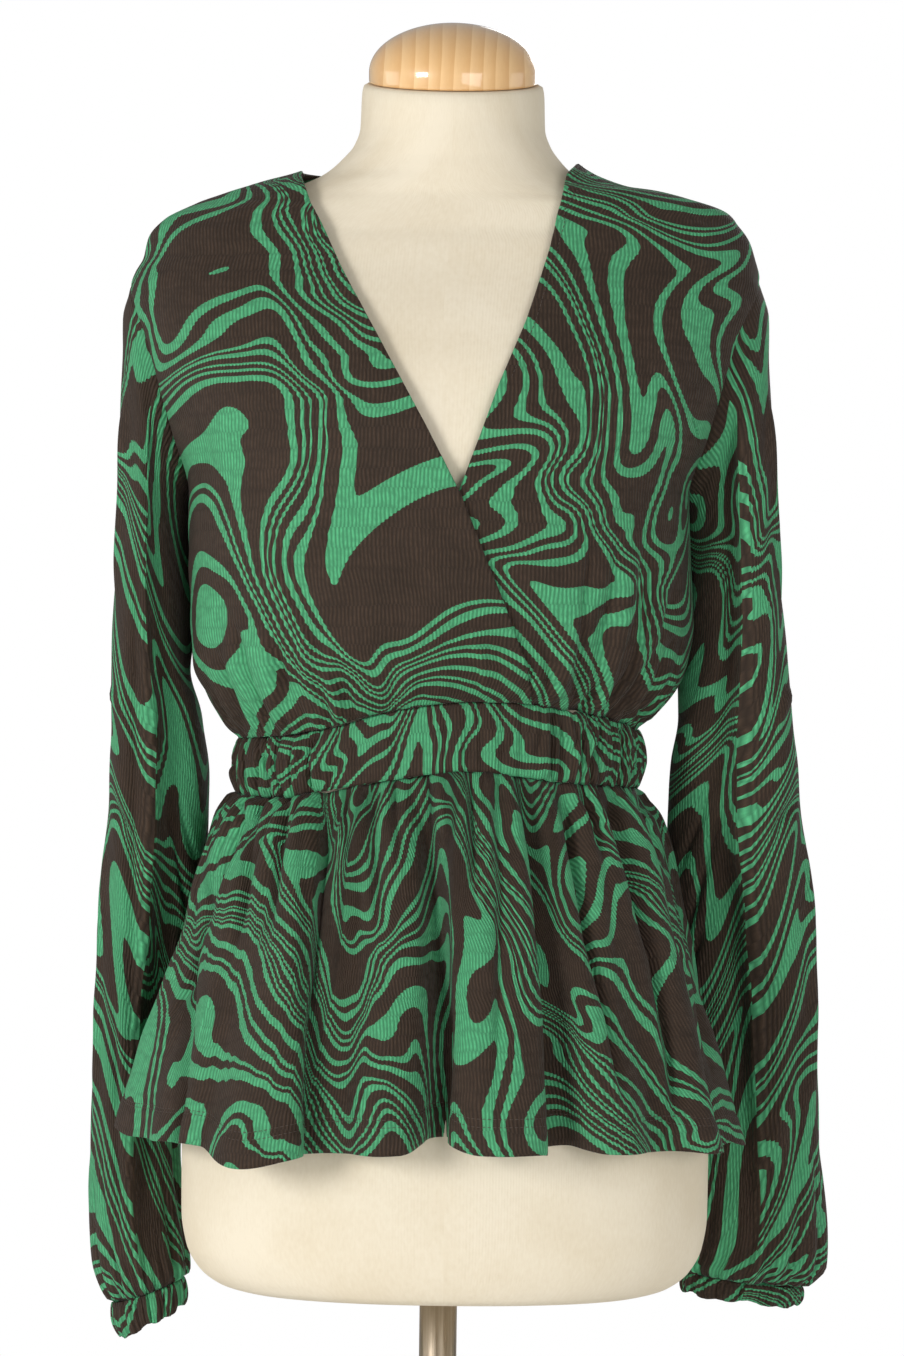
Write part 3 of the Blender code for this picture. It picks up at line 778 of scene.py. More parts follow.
@dataclass(frozen=True)
class VarnishedPine:
    """Pine, turned and dipped in clear gloss varnish: warm straight grain under sharp highlights."""

    early: str = "#efc790"
    late: str = "#dcaa6e"
    grain_mm: float = 9.0
    roughness: float = 0.35
    coat_roughness: float = 0.06

    def material(self, name: str) -> bpy.types.Material:
        """Make the material, whose grain runs from front to back through the piece.

        Args:
            name: Its name.

        Returns:
            The material.
        """
        graph = Graph(name)
        long = graph.vector("MULTIPLY", graph.add("TexCoord", output="Object"), (1.0, 0.10, 0.22))
        warp = graph.noise(long, 26.0, 2.0, "3D", "Color")
        moved = graph.vector("MULTIPLY_ADD", warp, (0.016, 0.016, 0.016), long)
        rings = graph.add("TexWave", {"wave_type": "BANDS", "bands_direction": "X", "wave_profile": "SAW",
                                      "Scale": 1 / (self.grain_mm * MM * math.pi), "Distortion": 2.4, "Detail": 2.0,
                                      "Vector": moved}, "Fac")
        mixed = graph.math("MULTIPLY_ADD", graph.noise(long, 900.0, 2.0, "3D"), 0.35, rings)
        tone = graph.remap(mixed, (0.1, 1.25), (0.0, 1.0))
        return graph.finish({"Base Color": graph.mix(tone, srgb(self.early), srgb(self.late)),
                             "Roughness": self.roughness, "Coat Weight": 1.0, "Coat Roughness": self.coat_roughness})


@dataclass(frozen=True)
class BrushedSteel:
    """Steel tube and plate, ground lengthwise: upright streaks of light and dark on a warm grey."""

    light: str = "#c3b7a6"
    deep: str = "#8c7c68"
    roughness: float = 0.34

    def material(self, name: str) -> bpy.types.Material:
        """Make the material, whose brush marks run along the pole's axis.

        Args:
            name: Its name.

        Returns:
            The material.
        """
        graph = Graph(name)
        long = graph.vector("MULTIPLY", graph.add("TexCoord", output="Object"), (1.0, 1.0, 0.02))
        marks = graph.add("TexNoise", {"Scale": 700.0, "Detail": 4.0, "Roughness": 0.6, "Vector": long}, "Fac")
        height = graph.math("MULTIPLY", marks, 0.00003)
        return graph.finish({"Base Color": graph.mix(marks, srgb(self.deep), srgb(self.light)), "Metallic": 1.0,
                             "Roughness": graph.remap(marks, (0.3, 0.7), (self.roughness - 0.08, self.roughness + 0.1)),
                             "Normal": graph.bump(height, 0.6)})


@dataclass(frozen=True)
class SewingThread:
    """Spun polyester sewing thread, dyed to the print's brown: matt with a faint lustre."""

    colour: str = "#3a2f2a"
    bright: str = "#54483f"
    roughness: float = 0.6

    def material(self, name: str) -> bpy.types.Material:
        """Make the material, with the twist of the thread.

        Args:
            name: Its name.

        Returns:
            The material.
        """
        graph = Graph(name)
        twist = graph.add("TexWave", {"wave_type": "BANDS", "bands_direction": "DIAGONAL", "Scale": 900.0,
                                      "Vector": graph.add("TexCoord", output="Object")}, "Fac")
        return graph.finish({"Base Color": graph.mix(twist, srgb(self.colour), srgb(self.bright)),
                             "Roughness": self.roughness})


@dataclass(frozen=True)
class StudioPaper:
    """Matt white backdrop paper, and the lit white behind it."""

    tone: str = "#f6f5f2"
    bright: str = "#fbfaf8"
    roughness: float = 0.95

    def material(self, name: str) -> bpy.types.Material:
        """Make the paper's material, with a faint unevenness.

        Args:
            name: Its name.

        Returns:
            The material.
        """
        graph = Graph(name)
        mottle = graph.noise(graph.add("TexCoord", output="Object"), 3.0, 3.0, "3D")
        return graph.finish({"Base Color": graph.mix(mottle, srgb(self.tone), srgb(self.bright)),
                             "Roughness": self.roughness})

    def lit(self, name: str) -> bpy.types.Material:
        """Make the material of a white backdrop that is lit on its own."""
        return Graph(name).finish({"Base Color": (0, 0, 0, 1), "Specular IOR Level": 0,
                                   "Emission Color": (1, 1, 1, 1), "Emission Strength": 1.0})


# ---- the body's tables ----------------------------------------------------------------------------------------------

SEAM_SINK = 1.1              # how far the cloth is drawn in at a seam
SEAM_WIDTH = 2.6             # how far from the seam that has faded
CHEST_DEGREE = 2.6           # length of one degree round the chest
SIDE_DEGREE = 0.8            # the same along a side seam and armhole, where points are spaced mostly by height
KNIT = 0.9                   # thickness of the plisse where it is dressed
FORM_MARGIN = 3.0            # what the middle of the cloth keeps clear of the form

BODICE = Rings(
    Ring(1000, 120.0, -3.5, 95, 92, 2.2),
    Ring(1040, 123.0, -5.0, 97, 94, 2.2),
    Ring(1051, 132.0, -3.0, 103, 98, 2.2),
    Ring(1066, 142.0, -2.5, 109, 102, 2.2),
    Ring(1084, 150.0, -4.0, 114, 105, 2.2),
    Ring(1108, 153.5, -3.5, 119, 108, 2.2),
    Ring(1145, 154.0, -5.0, 124, 110, 2.3),
    Ring(1186, 154.0, -6.0, 129, 112, 2.3),
    Ring(1222, 168.0, -4.5, 131, 115, 2.3),
    Ring(1252, 179.0, -4.0, 124, 118, 2.3),
    Ring(1288, 190.0, -4.0, 108, 117, 2.3),
    Ring(1310, 195.5, -3.5, 94, 110, 2.3),
    Ring(1321, 193.0, -2.0, 87, 104, 2.3),
    Ring(1330, 189.5, -0.5, 82, 98, 2.3),
    Ring(1343, 186.0, -1.0, 75, 89, 2.3),
    Ring(1354, 178.0, 0.0, 70, 82, 2.2),
    Ring(1364, 163.0, 5.0, 66, 77, 2.2),
    Ring(1371, 142.0, 3.0, 63, 73, 2.2),
    Ring(1377, 114.5, -3.0, 61, 71, 2.1),
    Ring(1385, 91.0, -2.0, 60, 69, 2.1),
    Ring(1392, 79.0, -1.5, 59, 68, 2.0),
    Ring(1402, 72.0, -1.0, 58, 67, 2.0),
)

FORM_HEIGHTS = (694.0, 1441.0)
FORM = Rings(
    Ring(694, 118.0, 3.0, 80, 100, 2.3),
    Ring(695, 127.0, 3.0, 86, 107, 2.3),
    Ring(699, 140.5, 3.0, 92, 114, 2.3),
    Ring(708, 152.0, 3.0, 97, 120, 2.3),
    Ring(722, 159.5, 3.0, 101, 124, 2.3),
    Ring(742, 162.7, 3.0, 103, 126, 2.3),
    Ring(780, 163.0, 3.0, 105, 127, 2.3),
    Ring(820, 159.5, 2.0, 104, 122, 2.3),
    Ring(860, 152.0, 1.0, 101, 114, 2.3),
    Ring(900, 141.0, 0.0, 98, 105, 2.3),
    Ring(950, 127.0, -1.0, 94, 94, 2.2),
    Ring(1000, 118.5, -2.0, 90, 87, 2.2),
    Ring(1030, 114.5, -3.0, 89, 86, 2.2),
    Ring(1060, 118.0, -3.0, 92, 88, 2.2),
    Ring(1100, 129.0, -3.5, 101, 93, 2.2),
    Ring(1150, 140.0, -4.5, 114, 101, 2.3),
    Ring(1186, 145.0, -5.0, 122, 105, 2.3),
    Ring(1215, 151.0, -4.5, 126, 107, 2.3),
    Ring(1252, 164.0, -4.0, 119, 111, 2.3),
    Ring(1285, 175.0, -4.0, 104, 110, 2.3),
    Ring(1305, 181.0, -3.5, 92, 105, 2.3),
    Ring(1322, 183.0, -2.0, 81, 96, 2.3),
    Ring(1336, 181.5, -1.0, 73, 87, 2.3),
    Ring(1346, 174.0, -0.5, 67, 79, 2.2),
    Ring(1355.5, 161.0, 3.0, 63, 74, 2.2),
    Ring(1363, 144.0, 4.0, 60, 72, 2.2),
    Ring(1369, 120.0, 0.0, 58, 70, 2.1),
    Ring(1375.5, 95.0, -2.0, 57, 69, 2.1),
    Ring(1384, 78.0, -1.0, 56, 67, 2.0),
    Ring(1393, 68.0, -0.5, 55, 63, 2.0),
    Ring(1402, 61.0, 0.0, 55, 60, 2.0),
    Ring(1413, 57.3, 0.0, 55, 58, 2.0),
    Ring(1434, 56.5, 0.0, 55.5, 56.5, 2.0),
    Ring(1439.5, 55.5, 0.0, 54.5, 55.5, 2.0),
    Ring(1441, 53.0, 0.0, 52, 53, 2.0),
)

PEPLUM = Rings(
    Ring(780, 191.5, -8.0, 138, 151, 2.2),
    Ring(815, 183.0, -9.0, 134, 147, 2.2),
    Ring(850, 173.0, -8.0, 130, 143, 2.2),
    Ring(880, 164.0, -6.0, 126, 138, 2.2),
    Ring(910, 155.0, -5.0, 121, 130, 2.2),
    Ring(955, 144.5, -5.5, 112, 116, 2.2),
    Ring(985, 134.5, -4.0, 103, 103, 2.2),
    Ring(1005, 122.0, -3.5, 96, 93, 2.2),
    Ring(1022, 120.0, -3.5, 95, 92, 2.2),
)

BAND = Rings(Ring(0, 121.5, -4.0, 96, 93, 2.2), Ring(2000, 121.5, -4.0, 96, 93, 2.2))


@dataclass(frozen=True)
class Level:
    """Heights of the waistband's two seams at an angle."""

    angle: float
    top: float
    bottom: float


BAND_LEVELS = (
    Level(-180, 1038.0, 1003.0),
    Level(-90, 1034.0, 1001.0),
    Level(-52, 1036.0, 999.0),
    Level(-32, 1041.0, 1004.0),
    Level(-12, 1052.0, 1011.0),
    Level(8, 1058.5, 1017.0),
    Level(22, 1058.0, 1014.0),
    Level(42, 1053.0, 1010.0),
    Level(90, 1041.0, 1007.0),
    Level(180, 1038.0, 1003.0),
)
BAND_TOP = Curve([level.angle for level in BAND_LEVELS], [level.top for level in BAND_LEVELS])
BAND_BOTTOM = Curve([level.angle for level in BAND_LEVELS], [level.bottom for level in BAND_LEVELS])
BAND_REST_TOP = 1040.0       # height of the band's top seam that the bodice rings are given for
BAND_LIFT_END = 1150.0       # above this height the bodice no longer follows the seam's rise

def band_top(angle: Field) -> Field:
    """Height of the waistband's upper seam."""
    return BAND_TOP(turned(angle))


def band_bottom(angle: Field) -> Field:
    """Height of the waistband's lower seam."""
    return BAND_BOTTOM(turned(angle))


def bodice_points(angle: Field, height: Field, out: Field = 0.0) -> Grid:
    """Points of the smooth bodice: its rings, let down to the rising waist seam.

    Args:
        angle: Angles in degrees.
        height: Heights of the points.
        out: How far the points stand out.

    Returns:
        The points.
    """
    rise = band_top(angle) - BAND_REST_TOP
    fade = 1 - smooth_step((height - BAND_REST_TOP) / (BAND_LIFT_END - BAND_REST_TOP))
    return BODICE.around(angle, height, out, ring_height=height - rise * fade)


def seam_sink(away: Field) -> Field:
    """How far the cloth is drawn in at each distance from a seam."""
    return SEAM_SINK * np.exp(-(away / SEAM_WIDTH) ** 2)


def clearance(points: Grid, angle: Field, height: Field) -> Field:
    """How far each point of the cloth can move in before it meets the form's margin."""
    body = FORM.around(angle, height)
    return np.maximum(0.0, np.linalg.norm(points[..., :2] - body[..., :2], axis=-1) - FORM_MARGIN)


def bodice_angle(x: float, height: float) -> float:
    """Find the front point of the bodice that has an x.

    Args:
        x: The x.
        height: The point's height.

    Returns:
        Its angle.
    """
    aside = x - BODICE.size("centre", height)
    across = min(1.0, abs(aside) / BODICE.size("half_width", height))
    return math.copysign(math.degrees(math.asin(across ** (BODICE.size("square", height) / 2))), aside)


def length_between(body: Callable[[Field, Field], Grid], start: tuple[Field, Field], angle: Field, height: Field,
                   steps: int) -> Field:
    """Length over a body from a start to each point.

    Args:
        body: Function from angle and height to points.
        start: Angle and height to start from.
        angle: Angles in degrees.
        height: Heights.
        steps: Number of chords that are added up.

    Returns:
        Lengths in millimetres.
    """
    shares = np.linspace(0, 1, steps + 1)
    return length_along(np.stack([body(start[0] + (angle - start[0]) * share, start[1] + (height - start[1]) * share)
                                  for share in shares]))[-1]


# ---- sewing ---------------------------------------------------------------------------------------------------------


@dataclass
class Stitching:
    """A row of machine stitches that lies on the cloth."""

    length: float = 2.5
    gap: float = 0.7
    radius: float = 0.22
    lift: float = 0.62
    sides: int = 5
    shape: tuple[Pair, ...] = ((0.0, 0.15), (0.22, 1.0), (0.78, 1.0), (1.0, 0.15))    # share of the length, thickness

    def stitch(self, start: np.ndarray, end: np.ndarray, out: np.ndarray) -> list[np.ndarray]:
        """Points round one stitch.

        Args:
            start: Where the thread leaves the cloth.
            end: Where it enters it again.
            out: The cloth's normal.

        Returns:
            A ring of points for each row of the shape.
        """
        out = out / np.linalg.norm(out)
        across = np.cross(end - start, out)
        across /= max(np.linalg.norm(across), 1e-9)
        turns = [2 * math.pi * j / self.sides for j in range(self.sides)]
        return [start + (end - start) * share + out * (self.lift * (0.35 + 0.65 * swell))
                + (out * math.cos(turn) + across * math.sin(turn)) * self.radius * swell
                for share, swell in self.shape for turn in turns]

    def build(self, name: str, paths: Sequence[tuple[Grid, Grid]], thread: bpy.types.Material) -> bpy.types.Object:
        """Make the stitches along lines on the cloth.

        Args:
            name: Name of the piece.
            paths: Points of each line and the cloth's normals there.
            thread: The thread's material.

        Returns:
            The piece, a mesh of short threads.
        """
        points: list[np.ndarray] = []
        faces: list[tuple[int, ...]] = []
        for line, normal in paths:
            walked = length_along(line)

            def on(table: Grid, place: float) -> np.ndarray:
                """Row of a table at a length along the line."""
                return np.array([np.interp(place, walked, table[:, c]) for c in range(3)])

            for k in range(int(walked[-1] // (self.length + self.gap))):
                start = k * (self.length + self.gap)
                for row in range(len(self.shape) - 1):
                    low = len(points) + row * self.sides
                    for j in range(self.sides):
                        right = (j + 1) % self.sides
                        faces.append((low + j, low + right, low + self.sides + right, low + self.sides + j))
                points += self.stitch(on(line, start), on(line, start + self.length), on(normal, start))
        return add_object(name, smooth_mesh(name, points, faces), thread)


# ---- the garment ----------------------------------------------------------------------------------------------------


@dataclass
class Cloth:
    """What every cloth piece of the top shares: its material and its thread."""

    knit: bpy.types.Material
    thread: bpy.types.Material

    def dress(self, name: str, nodes: Sequence[str], points: Grid, cut: Grid, held: str,
              rests_on: str = "form_torso", closed: bool = False) -> None:
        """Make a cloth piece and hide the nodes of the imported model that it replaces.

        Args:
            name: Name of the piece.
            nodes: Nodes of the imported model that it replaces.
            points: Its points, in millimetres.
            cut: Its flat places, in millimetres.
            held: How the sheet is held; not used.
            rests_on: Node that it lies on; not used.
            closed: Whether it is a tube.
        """
        piece = add_object(name, grid_mesh(name, points, cut, closed), self.knit)
        shell = piece.modifiers.new("Thickness", "SOLIDIFY")
        shell.thickness = KNIT * MM
        shell.offset = 0
        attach(piece, "root")
        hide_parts(*nodes)
        flat, area = cut_size(cut)
        log.info("%s: %d x %d points, cut %.3f x %.3f m, %.4f m2", name, *points.shape[:2], *flat, area)

    def sew(self, name: str, paths: Sequence[tuple[Grid, Grid]]) -> None:
        """Make rows of stitches in the garment's thread.

        Args:
            name: Name of the piece.
            paths: Points of each row and the cloth's normals there.
        """
        piece = Stitching().build(name, paths, self.thread)
        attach(piece, "root")
        log.info("%s: %d stitching faces", name, len(piece.data.polygons))


@dataclass(frozen=True)
class Armhole:
    """Armhole seen from the side: a loop on the bodice."""

    middle_y: float
    middle_z: float
    half_depth: float
    half_height: float

    def around(self, side: Side, turn: float) -> Pair:
        """Find a point of the armhole.

        Args:
            side: The wearer's side.
            turn: Turn round the armhole: 0 is its front, 90 its top and 270 its underarm.

        Returns:
            The point's angle and height on the bodice.
        """
        depth = self.middle_y - self.half_depth * math.cos(math.radians(turn))
        height = self.middle_z + self.half_height * math.sin(math.radians(turn))
        ahead = min(1.0, abs(depth) / BODICE.size("front" if depth < 0 else "back", height))
        angle = 90 - math.copysign(math.degrees(math.asin(ahead ** (BODICE.size("square", height) / 2))), -depth)
        return side.value * angle, height


ARMHOLES = {Side.RIGHT: Armhole(7, 1252, 46, 67), Side.LEFT: Armhole(0, 1253.5, 46, 67)}


@dataclass
class WrapBodice(Cloth):
    """Bodice: two front panels that lap over each other, and the back."""

    wrap_step: float = 3.2       # the upper front panel's middle stands this far outside the lower one
    wrap_turn: float = 50.0      # degrees from the side seam over which it does
    upper_edge: tuple[tuple[float, float], ...] = (
        (-90.0, 1377), (-85.0, 1361), (-76.0, 1343), (-66.0, 1320), (-45.0, 1280), (-14.0, 1222), (7.0, 1181),
        (23.0, 1141), (31.5, 1121), (42.0, 1094), (51.0, 1071), (58.0, 1056))
    lower_edge: tuple[tuple[float, float], ...] = (
        (71.0, 1382), (68.5, 1371), (60.0, 1332), (46.5, 1288), (31.0, 1250), (19.0, 1216), (6.5, 1182),
        (-10.0, 1140), (-29.0, 1094), (-47.0, 1047))
    shoulder_neck: Mapping[Side, float] = field(default_factory=lambda: {Side.RIGHT: 1385.0, Side.LEFT: 1391.5})
    back_neck: float = 1386.0
    print_width_from: float = 1150.0    # below this height the cloth keeps its width and is gathered into the waist
    columns: int = 170
    rows: int = 150
    back_columns: int = 190
    back_rows: int = 132
    back_share: float = 12 / 18         # share of the back's side that its side seam and armhole take
    seam_share: float = 0.04            # share of a panel over which its relief fades at a seam
    quiet_front: tuple[float, float, float] = (0.25, 10.0, 22.0)    # share of gathers there, its angle, its fade
    back_pleating: float = 0.8          # share of the front's pleats that the back has too
    print_shifts: Mapping[str, Pair] = field(default_factory=lambda: {
        "wrap_front_right": (0.0, 0.0), "wrap_front_left": (430.0, 160.0), "back_panel": (900.0, 0.0)})
    under_strip: tuple[Pair, ...] = ((-0.45, 0.45), (-0.2, 0.95), (0.8, 1.15), (4.0, 1.2), (8.5, 1.2))    # in, under
    stitched_column: int = 3
    stitched_from: float = 0.42         # share of the under layer's edge that the upper one hides
    waist_gathers: Gathers = Gathers(48, 8.5, -180, 180, 22, 105, 0.06, 11)
    small_gathers: Gathers = Gathers(110, 3.4, -180, 180, 8, 34, 0.10, 13)
    ripple: Ripple = Ripple(0.45, 46.0, 5)
    creases: tuple[Crease, ...] = (
        Crease(22, 1062, 14, 1105, 2.4, 7, 2, True),
        Crease(34, 1064, 30, 1098, -1.6, 5, 0, True),
        Crease(64, 1064, 84, 1150, 3.4, 9, 4, True),
        Crease(78, 1062, 96, 1135, -2.4, 6, 2, True),
        Crease(92, 1060, 108, 1150, 3.0, 8, 4, True),
        Crease(104, 1058, 122, 1120, -2.0, 6, 0, True),
        Crease(-66, 1056, -74, 1100, 2.0, 6, 0, True),
        Crease(-84, 1050, -92, 1118, -2.2, 6, -2, True),
        Crease(-98, 1048, -108, 1128, 2.6, 8, -3, True),
        Crease(-116, 1046, -128, 1110, -2.0, 7, 0, True),
        Crease(-140, 1185, -166, 1240, -2.0, 10, 4),
        Crease(132, 1188, 158, 1240, -2.0, 10, -4),
        Crease(60, 1165, 128, 1205, 1.5, 16, 6),
    )
    pleats: tuple[Pleat, ...] = (
        Pleat(((88, 1172), (86, 1157), (80, 1115), (77, 1062)), 8.7, 3.5, 8, 0.5),
        Pleat(((103, 1170), (101, 1157), (96, 1115), (86, 1060)), 6.8, 3.5, 7, 0.5),
        Pleat(((119, 1180), (117, 1115), (97, 1056)), 8.4, 4, 9, 0.5),
        Pleat(((141, 1150), (131, 1098), (109, 1056)), 7.2, 4, 8, 0.5),
        Pleat(((146, 1112), (120, 1056)), 6.1, 4, 7, 0.4),
        Pleat(((-132, 1120), (-126, 1100), (-113, 1058), (-102, 1040)), 6.8, 7, 3.5, 0.5),
        Pleat(((-108, 1112), (-100, 1089), (-94, 1059), (-85, 1040)), 6.5, 7, 3, 0.5),
        Pleat(((-144, 1100), (-140, 1088), (-123, 1041)), 5.7, 6, 3.5, 0.5),
        Pleat(((-64, 1086), (-60, 1071), (-56, 1044)), 3.4, 4, 2.5, 0.6),
        Pleat(((54, 1108), (59, 1090), (64, 1058)), 4.6, 3, 5, 0.6),
        Pleat(((-34, 1080), (-30, 1046)), 3.0, 2.5, 4, 0.6),
        Pleat(((16, 1094), (22, 1056)), 3.8, 4, 2.5, 0.6),
    )

    def side_walk(self, side: Side, front: bool) -> list[Pair]:
        """Follow a panel's outer edge up the side seam and round its part of the armhole.

        Args:
            side: The wearer's side.
            front: Whether the panel is a front one.

        Returns:
            Angles and heights.
        """
        hole = ARMHOLES[side]
        under = hole.around(side, 270)
        waist = (side.value * 90, float(band_top(side.value * 90)))
        middle = ((waist[0] + under[0]) / 2, (waist[1] + under[1]) / 2)
        return [waist, middle] + [hole.around(side, turn) for turn in np.linspace(-90 if front else 270, 90, 61)]

    def waist_walk(self, first: float, last: float) -> Walk:
        """A panel's lower edge, along the waistband, between two angles."""
        return walk_along([(angle, float(band_top(angle))) for angle in np.linspace(first, last, 90)], CHEST_DEGREE)

    def relief(self, angle: Field, height: Field, points: Grid) -> Field:
        """Work out gathers, creases and unevenness of the cloth.

        Args:
            angle: Angles of the points.
            height: Their heights.
            points: The points.

        Returns:
            How far each point moves out.
        """
        around, above = turned(angle), np.maximum(0.0, height - band_top(angle))
        x, y, z = np.moveaxis(points, -1, 0)
        least, begin, spread = self.quiet_front
        quiet = least + (1 - least) * smooth_step((np.abs(around) - begin) / spread)
        front = smooth_step((90 - np.abs(around)) / 12)
        total = (self.waist_gathers.relief(around, above) + self.small_gathers.relief(around, above)) * quiet
        total = total + relief_of(self.creases, x, z) * front
        total = total + relief_of(self.pleats, x, z) * np.where(y < 0, front, self.back_pleating)
        total = total * (0.35 + 0.65 * smooth_step(above / 9))
        total = np.maximum(total, -clearance(points, angle, height))
        return total + self.ripple.relief(x, z + y) * smooth_step(above / 30) - 1.2 * seam_sink(above)

    def seam_fade(self, shape: tuple[int, ...], *sides: int) -> Field:
        """Fade the relief towards a panel's seams.

        Args:
            shape: Rows and columns of the panel's points.
            *sides: Which sides are seams: 0 its first column, 1 its last and 2 its top.

        Returns:
            The share of the relief that is left at each point.
        """
        v, u = even_grid(shape[0] - 1, shape[1] - 1)
        away = (u, 1 - u, 1 - v)
        return math.prod(smooth_step(away[side] / self.seam_share) for side in sides)

    def turn_edge(self, points: Grid, cut: Grid, column: int) -> tuple[Grid, Grid]:
        """Turn the free edge under along one side of a panel.

        Args:
            points: The panel's points.
            cut: Their flat places.
            column: 0 or -1, the column that is the free edge.

        Returns:
            Points and flat places, with the turned-in strip's columns added.
        """
        first, sign = (True, -1) if column == 0 else (False, 1)
        normal, edge = normals_of(points)[:, column], points[:, column]
        into = points[:, 3 if first else -4] - edge
        into /= np.linalg.norm(into, axis=-1, keepdims=True)
        strip = np.stack([edge + into * along - normal * under for along, under in self.under_strip], axis=1)
        strip_cut = np.stack([cut[:, column] + (sign * (abs(along) + under), 0) for along, under in self.under_strip],
                             axis=1)
        if first:
            return np.concatenate([strip[:, ::-1], points], axis=1), np.concatenate([strip_cut[:, ::-1], cut], axis=1)
        return np.concatenate([points, strip], axis=1), np.concatenate([cut, strip_cut], axis=1)

    def panel_cut(self, angle: Field, height: Field, middle: float, shift: Pair) -> Grid:
        """Lay a panel's points on the printed cloth.

        Args:
            angle: Angles of the points.
            height: Their heights.
            middle: Angle of the body's line that the widths are measured from.
            shift: Where the panel is cut out of the print.

        Returns:
            Their flat places.
        """
        wide = np.maximum(height, self.print_width_from)
        across = length_between(bodice_points, (middle, wide), angle, wide, 20) * np.sign(angle - middle)
        ahead = angle - middle       # the back is cut as long as the front, over the bust
        up = length_between(bodice_points, (ahead, BAND_REST_TOP), ahead, height, 36) * np.sign(height - BAND_REST_TOP)
        return np.stack([across + shift[0], up + shift[1]], axis=-1)

    def free_walk(self, side: Side, edge: Sequence[Pair]) -> list[Pair]:
        """Follow a front panel's free edge up from the waistband to the neck.

        Args:
            side: The wearer's side.
            edge: Points of x and height down the edge.

        Returns:
            Angles and heights.
        """
        neck = (side.value * 90.0, self.shoulder_neck[side])
        neck_x = BODICE.size("centre", neck[1]) + side.value * BODICE.size("half_width", neck[1])
        table = np.array([(neck_x, neck[1]), *edge])
        rows = np.arange(len(table))
        fine = np.linspace(0, rows[-1], 12 * rows[-1] + 1)[1:]
        walk = [(bodice_angle(x, z), z) for x, z in zip(*(np.interp(fine, rows, table[:, k]) for k in (0, 1)))]
        walk[-1] = (walk[-1][0], float(band_top(walk[-1][0])))
        return [*walk[::-1], neck]

    def build_front(self, name: str, node: str, side: Side, edge: Sequence[Pair], step: float) -> Grid:
        """Make a front panel, from its side seam across the body to its free wrap edge.

        Args:
            name: Name of the piece.
            node: Node that it replaces.
            side: The wearer's side.
            edge: Points of x and height down the free edge.
            step: How far its middle stands outside the bodice.

        Returns:
            The panel's points before its edge is turned under.
        """
        outer, free = self.side_walk(side, True), self.free_walk(side, edge)
        places = patch(self.waist_walk(outer[0][0], free[0][0]), walk_along([outer[-1], free[-1]], CHEST_DEGREE),
                       walk_along(outer, SIDE_DEGREE), walk_along(free, CHEST_DEGREE), self.columns, self.rows)
        angle, height = places[..., 0], places[..., 1]
        points = bodice_points(angle, height, step * smooth_step((90 - side.value * angle) / self.wrap_turn))
        walked = length_along(points)
        sunk = seam_sink(length_along(points, 1)) + seam_sink(walked[-1] - walked)
        moved = self.relief(angle, height, points) * self.seam_fade(angle.shape, 0, 2) - sunk
        points = points - side.value * normals_of(points) * moved[..., None]
        cut = self.panel_cut(angle, height, 0.0, self.print_shifts[name])
        if side is Side.LEFT:
            points, cut = points[:, ::-1], cut[:, ::-1]
        self.dress(name, [node], *self.turn_edge(points, cut, 0 if side is Side.LEFT else -1), "draped")
        return points

    def build_back(self) -> None:
        """Make the back panel, whose sides run up the side seams, the armholes and the shoulder seams to the neck."""
        sides = {Side.LEFT: self.side_walk(Side.LEFT, False),
                 Side.RIGHT: [(angle + FULL_TURN, height) for angle, height in self.side_walk(Side.RIGHT, False)]}
        necks = {side: (walk[-1][0], self.shoulder_neck[side]) for side, walk in sides.items()}
        start, end = (two_walks(walk_along(walk, SIDE_DEGREE), walk_along([walk[-1], necks[side]], CHEST_DEGREE),
                                self.back_share) for side, walk in sides.items())
        left, right = necks.values()
        heights = [left[1]] + [self.back_neck] * 7 + [right[1]]
        places = patch(self.waist_walk(sides[Side.LEFT][0][0], sides[Side.RIGHT][0][0]),
                       walk_along(list(zip(np.linspace(left[0], right[0], 9), heights)), CHEST_DEGREE), start, end,
                       self.back_columns, self.back_rows)
        angle, height = places[..., 0], places[..., 1]
        points = bodice_points(angle, height)
        walked = length_along(points, 1)
        sunk = seam_sink(walked) + seam_sink(walked[:, -1:] - walked)
        moved = self.relief(angle, height, points) * self.seam_fade(angle.shape, 0, 1, 2) - sunk
        points = points + normals_of(points) * moved[..., None]
        cut = self.panel_cut(angle, height, 180.0, self.print_shifts["back_panel"])
        self.dress("back_panel", ["bodice_back"], points, cut, "draped")

    def build(self) -> None:
        """Make the two fronts and the back, and stitch the under layer's neck edge."""
        self.build_front("wrap_front_right", "bodice_front_right", Side.RIGHT, self.upper_edge, self.wrap_step)
        under = self.build_front("wrap_front_left", "bodice_front_left", Side.LEFT, self.lower_edge, 0.0)
        self.build_back()
        line = slice(int(self.rows * self.stitched_from), self.rows - 2), self.stitched_column
        self.sew("neck_stitching", [(under[line], normals_of(under)[line])])


